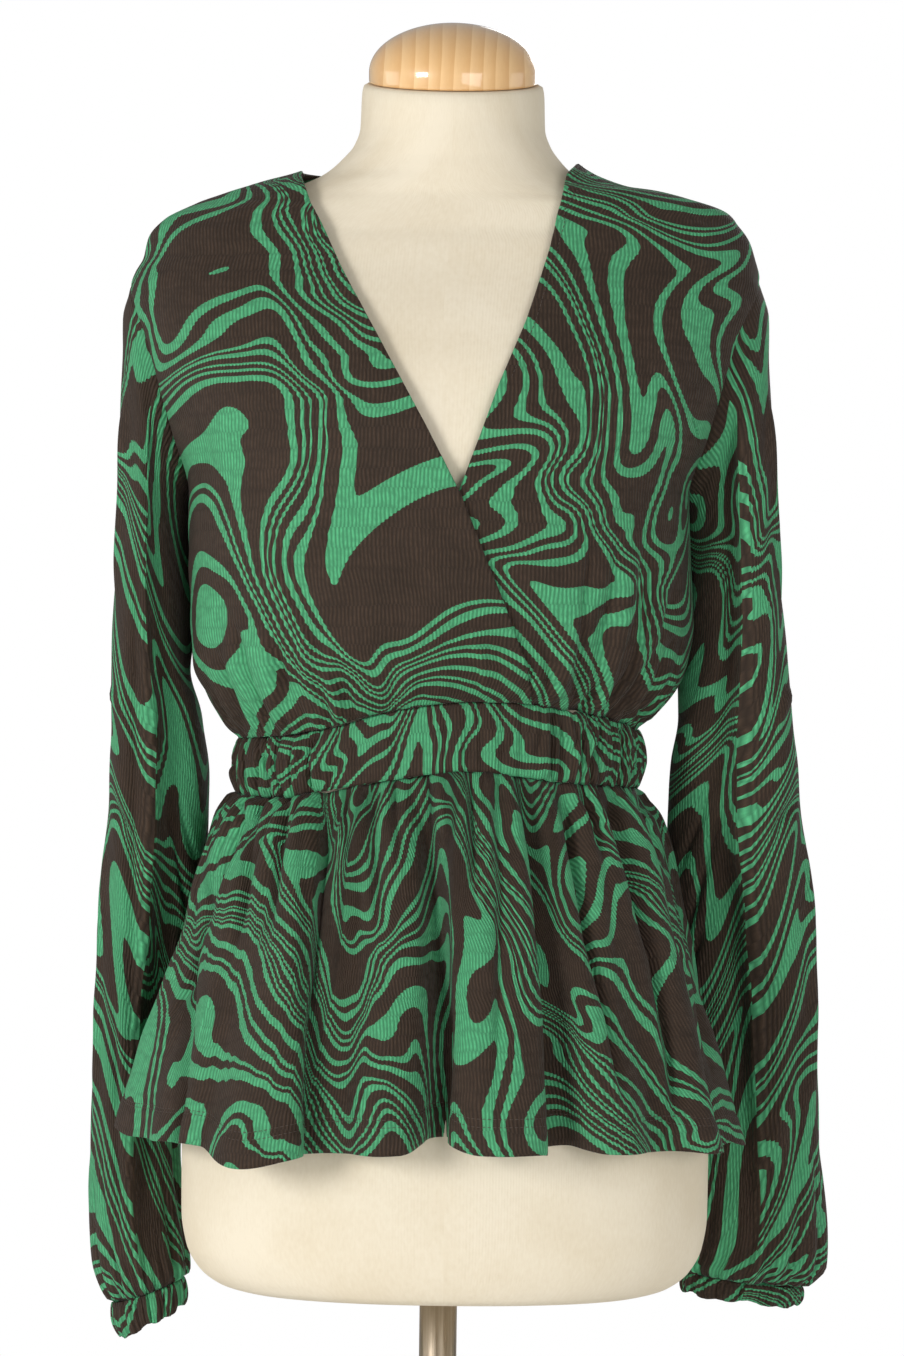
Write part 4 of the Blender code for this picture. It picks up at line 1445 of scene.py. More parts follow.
@dataclass
class Waistband(Cloth):
    """Waistband, gathered on elastic: smooth at the front and crimped at the sides and back."""

    columns: int = 340
    rows: int = 22
    width: float = 38.0
    fullness: float = 1.22       # cloth in the smallest crimps, which the mesh leaves out
    crimps: Gathers = Gathers(54, 8.5, -180, 180, 900, 1000, 0.0, 21)
    small_crimps: Gathers = Gathers(110, 4.6, -180, 180, 900, 1000, 0.0, 23)
    puckers: Gathers = Gathers(80, 1.7, -180, 180, 900, 1000, 0.0, 25)
    tucks: tuple[Pleat, ...] = (
        Pleat(((0, 1060), (1, 1012)), 1.6, 2, 4), Pleat(((12, 1062), (14, 1012)), 2.4, 2, 4),
        Pleat(((20, 1062), (22, 1012)), 3.0, 2, 4), Pleat(((34, 1060), (36, 1012)), 2.4, 4, 2),
        Pleat(((46, 1056), (45, 1012)), 2.6, 2, 4), Pleat(((58, 1056), (55, 1010)), 2.2, 2, 4),
        Pleat(((-30, 1050), (-27, 1006)), 1.4, 4, 2), Pleat(((-52, 1044), (-49, 1002)), 1.8, 4, 2),
    )
    smooth_front: Pair = (-2.0, 22.0)    # middle and half turn of the front's smooth stretch
    deepest: Pair = (-4.0, -3.0)         # how deep the crimps and the tucks may go
    print_shift: Pair = (1400.0, -120.0)

    def build_half(self, name: str, node: str, half: Half) -> None:
        """Make half of the band.

        Args:
            name: Name of the piece.
            node: Node that it replaces.
            half: Which half it is.
        """
        first, last = half.value
        share, angle = even_grid(self.rows, self.columns, first, last)
        low, high, level = band_bottom(angle), band_top(angle), 0.0 * angle
        middle, half_turn = self.smooth_front
        gathered = 0.16 + 0.84 * smooth_step((np.abs(turned(angle - middle)) - half_turn) / 15)
        pucker = self.puckers.relief(turned(angle), level) * gathered
        height = low + (high - low) * share + pucker * (2 * share - 1)
        drift = 1.3 * np.sin(share * 3.4 + np.radians(angle) * 9) + 0.8 * np.sin(share * 6 + np.radians(angle) * 23)
        puff = np.sin(np.pi * share) ** 0.7
        waves = self.crimps.relief(turned(angle + drift), level) * (0.55 + 0.45 * puff)
        waves = waves + self.small_crimps.relief(turned(angle - drift), level) * (0.4 + 0.6 * puff)
        out = np.maximum(waves * gathered, self.deepest[0]) + 2.2 * puff * gathered + 0.5 * puff
        points = BAND.around(angle, height, out)
        if half is Half.FRONT:
            tucked = relief_of(self.tucks, points[..., 0], points[..., 2])
            points = BAND.around(angle, height, out + np.maximum(tucked, self.deepest[1]) * (0.5 + 0.5 * puff))
        across = length_along(points, 1).mean(axis=0) * self.fullness + self.print_shift[0] + first * 4
        cut = np.stack([np.broadcast_to(across, angle.shape), share * self.width + self.print_shift[1]], axis=-1)
        self.dress(name, [node], points, cut, "gathered")

    def build(self) -> None:
        """Make the front and the back of the band."""
        self.build_half("waistband_knit_front", "waistband_front", Half.FRONT)
        self.build_half("waistband_knit_back", "waistband_back", Half.BACK)


@dataclass(frozen=True)
class Flare:
    """Flared fold of the peplum: where, how far it stands out at the hem, its half width, and the hem's drop."""

    angle: float
    out: float
    half_turn: float
    drop: float = 0.0

    def at(self, angle: Field) -> Field:
        """Share of the fold at each angle."""
        return bump(angle, self.angle, self.half_turn)


@dataclass
class Peplum(Cloth):
    """Peplum that is gathered on the band and flares in folds to a twin-stitched hem."""

    hem: float = 791.0
    fold_start: float = 1004.0   # height below which the folds open
    opening: float = 1.3         # how late they open
    press_start: float = 985.0   # height below which the sleeves press the peplum in
    columns: int = 330
    rows: int = 96
    flares: tuple[Flare, ...] = (
        Flare(-84, 7, 10, -4), Flare(-66, -8, 10, 0), Flare(-50, 7, 9, -2), Flare(-30, 17, 14, 10),
        Flare(-16, -9, 8, 1), Flare(-7, 6, 7, 1), Flare(2.5, -17, 6, -8), Flare(13, 11, 10, 0),
        Flare(26, -14, 6, -4), Flare(36, 9, 9, 0), Flare(48, -8, 8, 1), Flare(60, 11, 10, 3),
        Flare(72, -6, 8, 3), Flare(86, 6, 9, 4), Flare(136, 10, 12, 2), Flare(154, -10, 10, -3),
        Flare(171, 14, 12, 4), Flare(188, -12, 10, -2), Flare(204, 13, 11, 4), Flare(219, -8, 9, 0),
    )
    presses: tuple[Flare, ...] = (Flare(112, 10, 30), Flare(249, 25, 36))    # where the sleeves press it in
    seam_gathers: Gathers = Gathers(84, 6.0, -180, 180, 14, 74, 0.03, 31)
    long_gathers: Gathers = Gathers(36, 7.0, -180, 180, 60, 230, 0.02, 35)
    ripple: Ripple = Ripple(0.5, 40.0, 33)
    front_pleats: tuple[Pleat, ...] = (
        Pleat(((-121, 1000), (-121, 982), (-145, 918), (-167, 850)), 10.1, 6.5, 2.9, 0.1, 0.3),
        Pleat(((-140, 930), (-151, 899), (-162, 790)), 14.2, 4.3, 8.6, 0.5),
        Pleat(((-109, 1002), (-117, 962), (-124, 900)), 8.1, 2.9, 5.8, 0.0, 0.4),
        Pleat(((-93, 1002), (-97, 968), (-102, 905)), 10.1, 2.9, 6.5, 0.0, 0.4),
        Pleat(((-72, 1004), (-75, 957), (-77, 910), (-75, 785)), 22.3, 5.0, 12.2),
        Pleat(((-83, 975), (-83, 865)), 6.1, 2.2, 4.3, 0.3, 0.3),
        Pleat(((-60, 1006), (-57, 960)), 8.1, 2.2, 4.3, 0.0, 0.5),
        Pleat(((-43, 1008), (-42, 970), (-38, 920)), 10.1, 2.9, 5.8, 0.0, 0.4),
        Pleat(((-30, 1010), (-27, 955)), 8.1, 2.2, 4.3, 0.0, 0.5),
        Pleat(((-12, 1012), (-3, 952), (2, 905), (5, 858), (1, 785)), 24.3, 10.8, 2.9),
        Pleat(((15, 1016), (18, 964), (19, 935)), 12.2, 2.9, 5.0, 0.0, 0.4),
        Pleat(((28, 1014), (34, 947), (33, 800)), 8.1, 3.6, 6.5, 0.2, 0.4),
        Pleat(((45, 1014), (55, 964), (59, 923), (64, 875), (70, 785)), 22.3, 4.3, 11.5),
        Pleat(((70, 1010), (80, 965), (89, 917), (102, 870), (113, 811)), 16.2, 3.6, 7.9, 0.0, 0.25),
        Pleat(((84, 1008), (96, 960)), 8.1, 2.2, 4.3, 0.0, 0.5),
        Pleat(((96, 1006), (111, 958), (127, 904), (138, 844), (142, 800)), 16.2, 3.6, 7.2, 0.0, 0.2),
        Pleat(((117, 1004), (140, 950), (158, 877), (167, 816)), 12.2, 3.6, 5.8, 0.0, 0.3),
    )
    back_pleats: tuple[Pleat, ...] = (
        Pleat(((112, 1004), (134, 930), (146, 785)), 16.2, 8.6, 3.6),
        Pleat(((86, 1004), (104, 930)), 10.1, 5.8, 2.9, 0.0, 0.4),
        Pleat(((64, 1004), (70, 930), (76, 785)), 20.2, 10.8, 4.3),
        Pleat(((40, 1004), (44, 900)), 10.1, 5.0, 2.9, 0.0, 0.4),
        Pleat(((14, 1004), (16, 930), (12, 785)), 22.3, 4.3, 10.8),
        Pleat(((-8, 1004), (-10, 905)), 8.1, 2.9, 5.8, 0.0, 0.4),
        Pleat(((-34, 1004), (-40, 930), (-48, 785)), 18.2, 3.6, 9.4),
        Pleat(((-60, 1004), (-70, 900)), 10.1, 2.9, 5.8, 0.0, 0.4),
        Pleat(((-84, 1004), (-100, 930), (-108, 785)), 18.2, 3.6, 9.4),
        Pleat(((-112, 1004), (-136, 900)), 12.2, 2.9, 6.5, 0.0, 0.3),
    )
    fold_groove: tuple[float, float, float] = (0.7, 19.0, 2.6)    # depth, rise above the hem and width
    stitch_rises: Pair = (17.5, 20.7)
    under_strip: tuple[Pair, ...] = ((1.0, 1.2), (5.0, 1.4), (9.0, 1.4), (13.0, 1.4), (17.0, 1.5), (21.0, 1.5))
    edge_turn: Pair = (-0.4, 0.5)        # fall and depth of the hem's folded edge
    print_top: float = 300.0

    def places(self, angle: Field, down: Field) -> tuple[Grid, Field]:
        """Points of the peplum with its flared folds.

        Args:
            angle: Angles in degrees.
            down: 0 at the seam and 1 at the hem.

        Returns:
            The points, and how far below the seam each lies.
        """
        top = band_bottom(angle)
        height = top + (self.hem - sum(flare.drop * flare.at(angle) for flare in self.flares) - top) * down
        opening = np.clip((self.fold_start - height) / (self.fold_start - self.hem), 0, 1) ** self.opening
        folds = sum(flare.out * flare.at(angle) for flare in self.flares)
        inward = (sum(press.out * press.at(angle) for press in self.presses)
                  * np.maximum(0.0, (self.press_start - height) / (self.press_start - self.hem)))
        return PEPLUM.around(angle, height, folds * opening - inward), top - height

    def relief(self, points: Grid, angle: Field, below: Field, pleats: Sequence[Pleat], to_side: Field) -> Field:
        """Work out gathers, pleats and unevenness of the cloth.

        Args:
            points: The points.
            angle: Their angles.
            below: How far below the seam they lie.
            pleats: The half's pleats.
            to_side: Shares of the way from the side seams to the middle.

        Returns:
            How far each point moves out.
        """
        x, y, z = np.moveaxis(points, -1, 0)
        waves = self.seam_gathers.relief(turned(angle), below) + self.long_gathers.relief(turned(angle), below)
        waves = waves + relief_of(pleats, x, z)
        waves = waves * (0.35 + 0.65 * smooth_step(below / 7)) * smooth_step((to_side + 0.004) / 0.05)
        waves = np.maximum(waves, -clearance(points, angle, z))
        depth, rise, width = self.fold_groove
        waves = waves - depth * np.exp(-((z - z[-1:] - rise) / width) ** 2)
        return waves + self.ripple.relief(x + y, z) * smooth_step(below / 40) - 1.2 * seam_sink(below)

    def build_half(self, name: str, node: str, half: Half, shift: float) -> None:
        """Make half of the peplum with its hem turned up and its two rows of stitches.

        Args:
            name: Name of the piece.
            node: Node that it replaces.
            half: Which half it is.
            shift: Where it is cut out of the print.
        """
        first, last = half.value
        down, angle = even_grid(self.rows, self.columns, first, last)
        points, below = self.places(angle, down)
        sign, pleats = (1, self.front_pleats) if half is Half.FRONT else (-1, self.back_pleats)
        hidden = sign * sum(pleat.swallowed(points[..., 0], points[..., 2]) for pleat in pleats)
        to_side = 1 - np.abs(2 * (angle - first) / (last - first) - 1)
        normal = -normals_of(points)
        points = points + normal * self.relief(points, angle, below, pleats, to_side)[..., None]
        fallen, column = length_along(points), np.arange(self.columns + 1)
        cut = np.stack([length_along(points[-1]) + shift + hidden, self.print_top - fallen], axis=-1)

        def rise(up: float) -> tuple[Field, Field]:
            """Points at a length up from the hem, as rows and columns."""
            return np.argmin(np.abs(fallen - (fallen[-1] - up)), axis=0), column

        lines = [(points[rise(up)], normal[rise(up)]) for up in self.stitch_rises]
        strip = [points[-1] - normal[-1] * self.edge_turn[1]]
        strip += [points[rise(up)] - normal[rise(up)] * under for up, under in self.under_strip]
        strip_cut = [cut[-1] - (0, abs(up) + under) for up, under in (self.edge_turn, *self.under_strip)]
        points, cut = np.concatenate([points, strip]), np.concatenate([cut, strip_cut])
        self.dress(name, [node], points[::-1], cut[::-1], "gathered", "waistband_front")
        self.sew(name.replace("peplum_knit", "hem_stitching"), lines)

    def build(self) -> None:
        """Make the front and the back of the peplum."""
        self.build_half("peplum_knit_front", "peplum_front", Half.FRONT, 300.0)
        self.build_half("peplum_knit_back", "peplum_back", Half.BACK, 820.0)


@dataclass(frozen=True)
class Section:
    """Section of a sleeve: its inner and outer edges, middle and half depth, and how sharp its front fold is."""

    inner_x: float
    inner_z: float
    outer_x: float
    outer_z: float
    middle_y: float
    half_depth: float
    crease: float = 0.0


NAMES = ("inner_x", "inner_z", "outer_x", "outer_z", "middle_y", "half_depth", "crease")

SLEEVE_SECTIONS = {
    Side.RIGHT: (
        Section(164.0, 1172, 202.5, 1294, 7, 47, 0.05),
        Section(165.5, 1154, 203.0, 1252, 6, 48, 0.10),
        Section(164.5, 1130, 203.5, 1200, 5, 49, 0.15),
        Section(163.0, 1104, 205.0, 1150, 5, 50, 0.20),
        Section(159.0, 1075, 206.0, 1104, 7, 50, 0.25),
        Section(151.5, 1046, 206.5, 1064, 12, 49, 0.30),
        Section(147.5, 1012, 207.5, 1020, 22, 48, 0.30),
        Section(148.5, 968, 209.5, 972, 34, 46, 0.30),
        Section(152.5, 921, 212.0, 923, 47, 44, 0.30),
        Section(158.5, 865, 216.0, 866, 60, 44, 0.30),
        Section(164.0, 808, 220.0, 809, 71, 44, 0.25),
        Section(166.0, 762, 222.0, 762, 76, 43, 0.20),
        Section(163.0, 730, 221.0, 729, 75, 41, 0.15),
        Section(160.5, 708, 217.0, 701, 70, 38, 0.10),
        Section(160.0, 698, 211.5, 686, 66, 33, 0.05),
    ),
    Side.LEFT: (
        Section(155.0, 1174, 196.5, 1298, 0, 47, 0.10),
        Section(157.0, 1156, 197.0, 1260, -1, 47, 0.30),
        Section(158.0, 1134, 199.0, 1213, -2, 47, 0.40),
        Section(157.5, 1108, 202.5, 1163, -1, 47, 0.45),
        Section(154.5, 1080, 207.5, 1113, 2, 47, 0.45),
        Section(147.0, 1052, 212.5, 1069, 8, 46, 0.40),
        Section(141.0, 1022, 218.0, 1028, 18, 45, 0.35),
        Section(140.0, 980, 223.0, 983, 30, 43, 0.30),
        Section(145.5, 926, 230.0, 927, 44, 41, 0.30),
        Section(152.5, 865, 235.0, 865, 58, 39, 0.30),
        Section(157.5, 804, 238.0, 804, 69, 38, 0.25),
        Section(160.0, 757, 242.0, 757, 77, 38, 0.20),
        Section(158.0, 728, 245.0, 726, 80, 37, 0.15),
        Section(155.0, 709, 243.5, 702, 80, 33, 0.10),
        Section(154.5, 703, 237.5, 695, 80, 29, 0.05),
    ),
}

CUFF_SECTIONS = {
    Side.RIGHT: (
        Section(162.5, 691.5, 205.5, 675.5, 64, 27),
        Section(162.0, 682, 203.5, 664, 64, 26),
        Section(161.5, 675, 200.0, 654, 63, 25),
    ),
    Side.LEFT: (
        Section(157.5, 697.5, 230.5, 688.5, 80, 24),
        Section(156.5, 691, 229.0, 682, 80, 23),
        Section(156.0, 685, 227.0, 677, 79, 22),
    ),
}

def section_points(side: Side, section: Mapping[str, Field], turn: Field) -> Grid:
    """Points round sections of a sleeve: from the front, by the outer side, round the back.

    Args:
        side: The wearer's side.
        section: The sections' sizes, by name.
        turn: Turns in radians.

    Returns:
        The points.
    """
    middle = (section["inner_x"] + section["outer_x"]) / 2
    half = (section["outer_x"] - section["inner_x"]) / 2
    height = (section["inner_z"] + section["outer_z"]) / 2
    rise = (section["outer_z"] - section["inner_z"]) / 2
    lateral = np.sin(turn) * (1 - section["crease"] * np.maximum(0.0, np.cos(turn)) ** 2)
    return np.stack([side.value * (middle + half * lateral), section["middle_y"] - section["half_depth"] * np.cos(turn),
                     height + rise * lateral], axis=-1)


@dataclass
class Sleeve(Cloth):
    """Limp sleeve with a front fold, gathered onto an elastic cuff."""

    side: Side = Side.RIGHT
    head_tuck: float = 3.0       # cloth of the armhole seam that lies under the bodice
    tuck_depth: float = 2.2
    head_out: float = 1.2
    head_drop: float = 3.0
    columns: int = 112
    rows: int = 210
    cuff_columns: int = 260
    cuff_rows: int = 14
    width: float = 265.0         # of the flat sleeve
    cuff_width: float = 215.0
    cuff_length: float = 16.0
    degree: float = 0.75         # length of one degree round the sleeve, for its creases
    print_top: float = 900.0
    cuff_gathers: Gathers = Gathers(30, 6.4, 0, 360, 14, 72, 0.12, 41)
    cuff_crimps: Gathers = Gathers(33, 4.2, 0, 360, 900, 1000, 0.0, 43)
    blouse: float = 0.8          # how far the sleeve's end swells over the cuff
    uneven: float = 1.0          # rise and fall of the cuff's edge
    ripple: Ripple = Ripple(0.5, 52.0, 45)
    front_sharp: float = 4.0     # how square the front panel's outer corner is
    hollow: float = 22.0         # how far the cloth falls back on the inner side of the front fold
    blouse_place: Pair = (7.0, 12.0)     # length up from the cuff where that is most, and its width
    deepest_crimp: float = -1.6
    cuff_puff: float = 1.4
    hollow_width: float = 0.22   # where that is deepest, as a share of the turn from the front to the inner side
    full_crease: float = 0.3     # crease of a section whose front fold is full
    hug: tuple[float, float, float] = (1040.0, 1186.0, 5.0)    # heights between which the sleeve lies nearer the body
    hug_fades: Pair = (40.0, 14.0)       # over which lengths that begins and ends
    back_hug: float = 8.0
    inner_side: Pair = (262.0, 90.0)     # turn and half turn of the side that hugs the body
    back_side: Pair = (236.0, 62.0)      # and of the part of it behind the arm
    creases: tuple[Crease, ...] = (
        Crease(252, 225, 212, 252, -4.5, 7, 2), Crease(262, 258, 214, 296, -5.1, 8, -2),
        Crease(240, 300, 200, 322, -3.6, 7, 1), Crease(18, 240, 54, 262, 3.0, 9, 2),
        Crease(14, 305, 50, 326, -3.3, 8, -1), Crease(60, 285, 96, 300, -3.3, 9, 2),
        Crease(36, 40, 44, 225, 3.3, 11, 3), Crease(58, 335, 44, 560, 3.9, 11, -3),
        Crease(218, 350, 206, 545, -4.5, 9, 4), Crease(110, 250, 150, 275, -3.9, 9, 2),
        Crease(105, 300, 152, 318, -3.6, 9, -2), Crease(120, 60, 130, 240, 2.7, 14, 3),
    )
    folds: Mapping[Side, tuple[Pleat, ...]] = field(default_factory=lambda: {
        Side.RIGHT: (Pleat(((-190, 1180), (-191, 1094), (-192, 995), (-194, 870), (-192, 760)), 4.0, 3, 8, 0.25, 0.3),
                     Pleat(((-206, 905), (-204, 840), (-200, 700)), 3.4, 6, 3, 0.3)),
        Side.LEFT: (Pleat(((192, 960), (200, 860), (206, 700)), 4.0, 4, 9, 0.4),
                    Pleat(((222, 880), (224, 800), (222, 690)), 3.6, 7, 4, 0.4)),
    })

    def rings(self) -> Grid:
        """Rings of the sleeve from the armhole to the cuff, at the full number of columns."""
        turn = np.linspace(0, 2 * math.pi, self.columns, endpoint=False)
        hole = ARMHOLES[self.side]
        wider = replace(hole, half_depth=hole.half_depth + self.head_tuck,
                        half_height=hole.half_height + self.head_tuck)
        tucked, head = (np.array([bodice_points(*(np.array(place) for place in loop.around(self.side, t)), -under)
                                  for t in np.degrees(turn)])
                        for loop, under in ((wider, self.tuck_depth), (hole, SEAM_SINK)))
        made = [tucked, head, head + (self.side.value * self.head_out, 0, -self.head_drop)]
        for section in (*SLEEVE_SECTIONS[self.side], CUFF_SECTIONS[self.side][0]):
            shape = section_points(self.side, {name: getattr(section, name) for name in NAMES}, turn)
            made.append(self.fold_front(section, shape, turn))
        return np.array(made)

    def fold_front(self, section: Section, shape: Grid, turn: Field) -> Grid:
        """Fold a section at its front: a flat panel outside the fold, and cloth that falls back inside it.

        Args:
            section: The section.
            shape: Its smooth points.
            turn: Their turns in radians.

        Returns:
            The folded points, laid nearer the body where the sleeve hugs it.
        """
        strength = min(1.0, max(0.0, section.crease / self.full_crease - 0.15))
        square = 2 + (self.front_sharp - 2) * strength
        half = (section.outer_x - section.inner_x) / 2
        middle = (section.outer_x + section.inner_x) / 2
        across = np.abs(np.sin(turn)) ** (2 / square)
        ahead = np.abs(np.cos(turn)) ** (2 / square)
        rise = (section.outer_z - section.inner_z) / 2
        height = (section.inner_z + section.outer_z) / 2
        panel = np.stack([self.side.value * (middle + half * across), section.middle_y - section.half_depth * ahead,
                          height + rise * across], axis=-1)
        folded = np.where((turn < math.pi / 2)[:, None], shape + (panel - shape) * strength, shape)
        inside = np.clip((2 * math.pi - turn) / (math.pi / 2), 0, 1) * (turn > 1.5 * math.pi)
        fallen = inside / self.hollow_width * np.exp(1 - inside / self.hollow_width) * (1 - inside)
        folded[:, 1] += self.hollow * strength * fallen
        low, high, reach = self.hug
        begin, end = self.hug_fades
        near = smooth_step((section.inner_z - low) / begin) * smooth_step((high - section.inner_z) / end)
        degrees = np.degrees(turn)
        inner = bump(degrees, *self.inner_side) * reach + bump(degrees, *self.back_side) * self.back_hug
        folded[:, 0] -= self.side.value * near * inner
        return folded

    def lofted(self, rings: Grid) -> Grid:
        """Points of the sleeve, at even lengths along the curves through its rings.

        Args:
            rings: The rings.

        Returns:
            The points.
        """
        walked = length_along(rings.mean(axis=1))
        walked[1:] = np.maximum(walked[1:], walked[:-1] + 1.0)
        place = np.linspace(0, walked[-1], self.rows + 1)
        return np.stack([np.stack([Curve(walked, rings[:, column, axis])(place) for axis in range(3)], axis=-1)
                         for column in range(self.columns)], axis=1)

    def build_sleeve(self, name: str, node: str, shift: float) -> None:
        """Make the sleeve's tube.

        Args:
            name: Name of the piece.
            node: First part of the names of the nodes that it replaces.
            shift: Where it is cut out of the print.
        """
        points = self.lofted(self.rings())
        fallen = length_along(points)
        to_cuff = fallen[-1] - fallen
        turn = np.linspace(0, FULL_TURN, self.columns, endpoint=False)[None]
        waves = self.cuff_gathers.relief(turn, to_cuff) * smooth_step(to_cuff / 4)
        swell, width = self.blouse_place
        waves = waves + self.blouse * smooth_step(to_cuff / 5) * np.exp(-((to_cuff - swell) / width) ** 2)
        waves = waves + self.ripple.relief(turn * self.degree, fallen)
        waves = waves + sum(relief_of(self.creases, (turn + lap) * self.degree, fallen)
                            for lap in (-FULL_TURN, 0.0, FULL_TURN))
        x, y, z = np.moveaxis(points, -1, 0)
        ahead = smooth_step((y.mean(axis=1, keepdims=True) - y) / 12)
        waves = waves + relief_of(self.folds[self.side], x, z) * ahead
        waves = waves * smooth_step((fallen - 4) / 25) - 0.8 * seam_sink(to_cuff)
        points = points + outward_normals(points) * waves[..., None]
        down = np.concatenate([fallen, fallen[:, :1]], axis=1)
        across = np.linspace(0, self.width, self.columns + 1) + shift + 0 * down
        self.dress(name, [node + "_upper", node + "_lower"], points, np.stack([across, self.print_top - down], axis=-1),
                   "hung", closed=True)

    def build_cuff(self, name: str, node: str, shift: float) -> None:
        """Make the gathered cuff.

        Args:
            name: Name of the piece.
            node: Node that it replaces.
            shift: Where it is cut out of the print.
        """
        sections = CUFF_SECTIONS[self.side]
        turn = np.linspace(0, 2 * math.pi, self.cuff_columns, endpoint=False)[None]
        share = np.linspace(0, 1, self.cuff_rows + 1)[:, None]
        rows = np.linspace(0, 1, len(sections))
        points = section_points(self.side, {size: Curve(rows, [getattr(section, size) for section in sections])(share)
                                            for size in NAMES}, turn)
        puff = np.sin(np.pi * share) ** 0.7
        waves = self.cuff_crimps.relief(np.degrees(turn) + 2 * np.sin(3 * share), 0 * turn + 0 * share)
        waves = np.maximum(waves, self.deepest_crimp) * (0.6 + 0.4 * puff) + self.cuff_puff * puff
        points = points + outward_normals(points) * waves[..., None]
        points[..., 2] += self.uneven * share * (np.sin(5 * turn + 1.1) + 0.7 * np.sin(11 * turn + 0.4))
        across = np.linspace(0, self.cuff_width, self.cuff_columns + 1)[None]
        cut = np.stack(np.broadcast_arrays(across + shift, -self.cuff_length * share), axis=-1)
        self.dress(name, [node], points, cut, "gathered", closed=True)


# ---- the form and its stand -----------------------------------------------------------------------------------------


@dataclass
class DressForm:
    """Limbless dress form in jersey, with its pine cap, steel pole and plate."""

    jersey: bpy.types.Material
    pine: bpy.types.Material
    steel: bpy.types.Material
    columns: int = 160
    rows: int = 260
    row_heights: tuple[Pair, ...] = ((0, 694), (0.02, 695), (0.05, 699), (0.08, 708), (0.15, 742), (0.72, 1340),
                                     (1.0, 1441))    # share of the rows below each height
    jersey_width: float = 940.0
    neck_tilt: float = 12.0      # degrees by which the neck's end and the cap lean forward
    tilt_from: float = 1398.0
    cap_radius: float = 52.4
    cap_rim: float = 7.0
    cap_dome: float = 30.5
    cap_round: float = 2.0
    cap_side: float = 3.0        # height at which the cap's upright side begins
    cap_seat: float = 6.0        # width of its edge outside the seat
    seat_gap: float = 0.3
    pole_radius: float = 11.6
    pole_bevel: float = 0.6
    plate_radius: float = 170.0
    plate_thick: float = 8.0
    plate_middle: float = 100.0
    plate_edge: float = 1.5
    boss_radius: float = 19.0
    boss_height: float = 22.0
    boss_flare: float = 8.0
    turned_steps: int = 128

    def place(self, piece: bpy.types.Object, node: str, slot: str) -> None:
        """Hide the node that a piece replaces and let it ride.

        Args:
            piece: The piece.
            node: Node that it replaces.
            slot: Slot of its material; not used.
        """
        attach(piece, "root")
        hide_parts(node)
        log.info("%s: %d faces", piece.name, len(piece.data.polygons))

    def build_body(self) -> None:
        """Make the jersey-covered body, closed below and at the neck."""
        shares, table = zip(*self.row_heights)
        height = np.interp(np.linspace(0, 1, self.rows + 1), shares, table)
        height, angle = np.meshgrid(height, np.linspace(0, FULL_TURN, self.columns, endpoint=False), indexing="ij")
        points = FORM.around(angle, height)
        leaning = smooth_step((height - self.tilt_from) / (FORM_HEIGHTS[1] - self.tilt_from))
        points[..., 2] += points[..., 1] * math.tan(math.radians(self.neck_tilt)) * leaning
        up = length_along(points)
        up = np.concatenate([up, up[:, :1]], axis=1)
        across = np.linspace(0, self.jersey_width, self.columns + 1) + 0 * up
        mesh = grid_mesh("jersey_body", points, np.stack([across, up], axis=-1), closed=True)
        self.cap_ends(mesh)
        self.place(add_object("jersey_body", mesh, self.jersey), "form_torso", "cotton_jersey")

    def cap_ends(self, mesh: bpy.types.Mesh) -> None:
        """Close the body's flat ends with one face each.

        Args:
            mesh: The body's open mesh.
        """
        work = bmesh.new()
        work.from_mesh(mesh)
        work.verts.ensure_lookup_table()
        for end in (reversed(work.verts[:self.columns]), work.verts[-self.columns:]):
            work.faces.new(list(end)).smooth = False
        work.to_mesh(mesh)
        work.free()

    def turn(self, name: str, profile: Sequence[Pair], material: bpy.types.Material) -> bpy.types.Object:
        """Make a turned piece from the radius and height of each point down its outer side."""
        return add_object(name, lathe_mesh(name, profile, self.turned_steps), material)

    def build_cap(self) -> None:
        """Make the turned cap that leans with the neck."""
        low, radius, edge = self.seat_gap, self.cap_radius, self.cap_round
        profile = [(0.0, low + self.cap_rim + self.cap_dome),
                   *arc((0.0, low + self.cap_rim), (radius, self.cap_dome), np.linspace(88, 0, 30)),
                   (radius, low + self.cap_side),
                   *arc((radius - edge, low + edge), (edge, -edge), np.linspace(15, 90, 6)),
                   (radius - self.cap_seat, low), (0.0, low)]
        cap = self.turn("pine_cap", profile, self.pine)
        cap.location = (0, 0, FORM_HEIGHTS[1] * MM)
        cap.rotation_euler = (math.radians(self.neck_tilt), 0, 0)
        self.place(cap, "neck_cap", "varnished_pine")

    def build_pole(self) -> None:
        """Make the pole."""
        low, high = self.boss_height + self.seat_gap, FORM_HEIGHTS[0] - self.seat_gap
        radius, bevel = self.pole_radius, self.pole_bevel
        profile = [(0.0, high), (radius - bevel, high), (radius, high - bevel), (radius, low + bevel),
                   (radius - bevel, low), (0.0, low)]
        self.place(self.turn("steel_pole", profile, self.steel), "stand_pole", "brushed_steel")

    def build_plate(self) -> None:
        """Make the round plate with its boss."""
        edge, top, thick = self.plate_edge, self.boss_height, self.plate_thick
        corner = np.linspace(70, 0, 5)
        profile = [(0.0, top), (self.boss_radius - edge, top),
                   *arc((self.boss_radius - edge, top - edge), (edge, edge), corner),
                   (self.boss_radius, thick + self.boss_flare / 2), (self.boss_radius + self.boss_flare, thick),
                   (self.plate_middle, thick), (self.plate_radius - edge, thick),
                   *arc((self.plate_radius - edge, thick - edge), (edge, edge), corner),
                   (self.plate_radius, 0.0), (0.0, 0.0)]
        self.place(self.turn("steel_plate", profile, self.steel), "stand_base", "brushed_steel")

    def build(self) -> None:
        """Make every piece of the form and its stand."""
        self.build_body()
        self.build_cap()
        self.build_pole()
        self.build_plate()


# ---- the studio -----------------------------------------------------------------------------------------------------


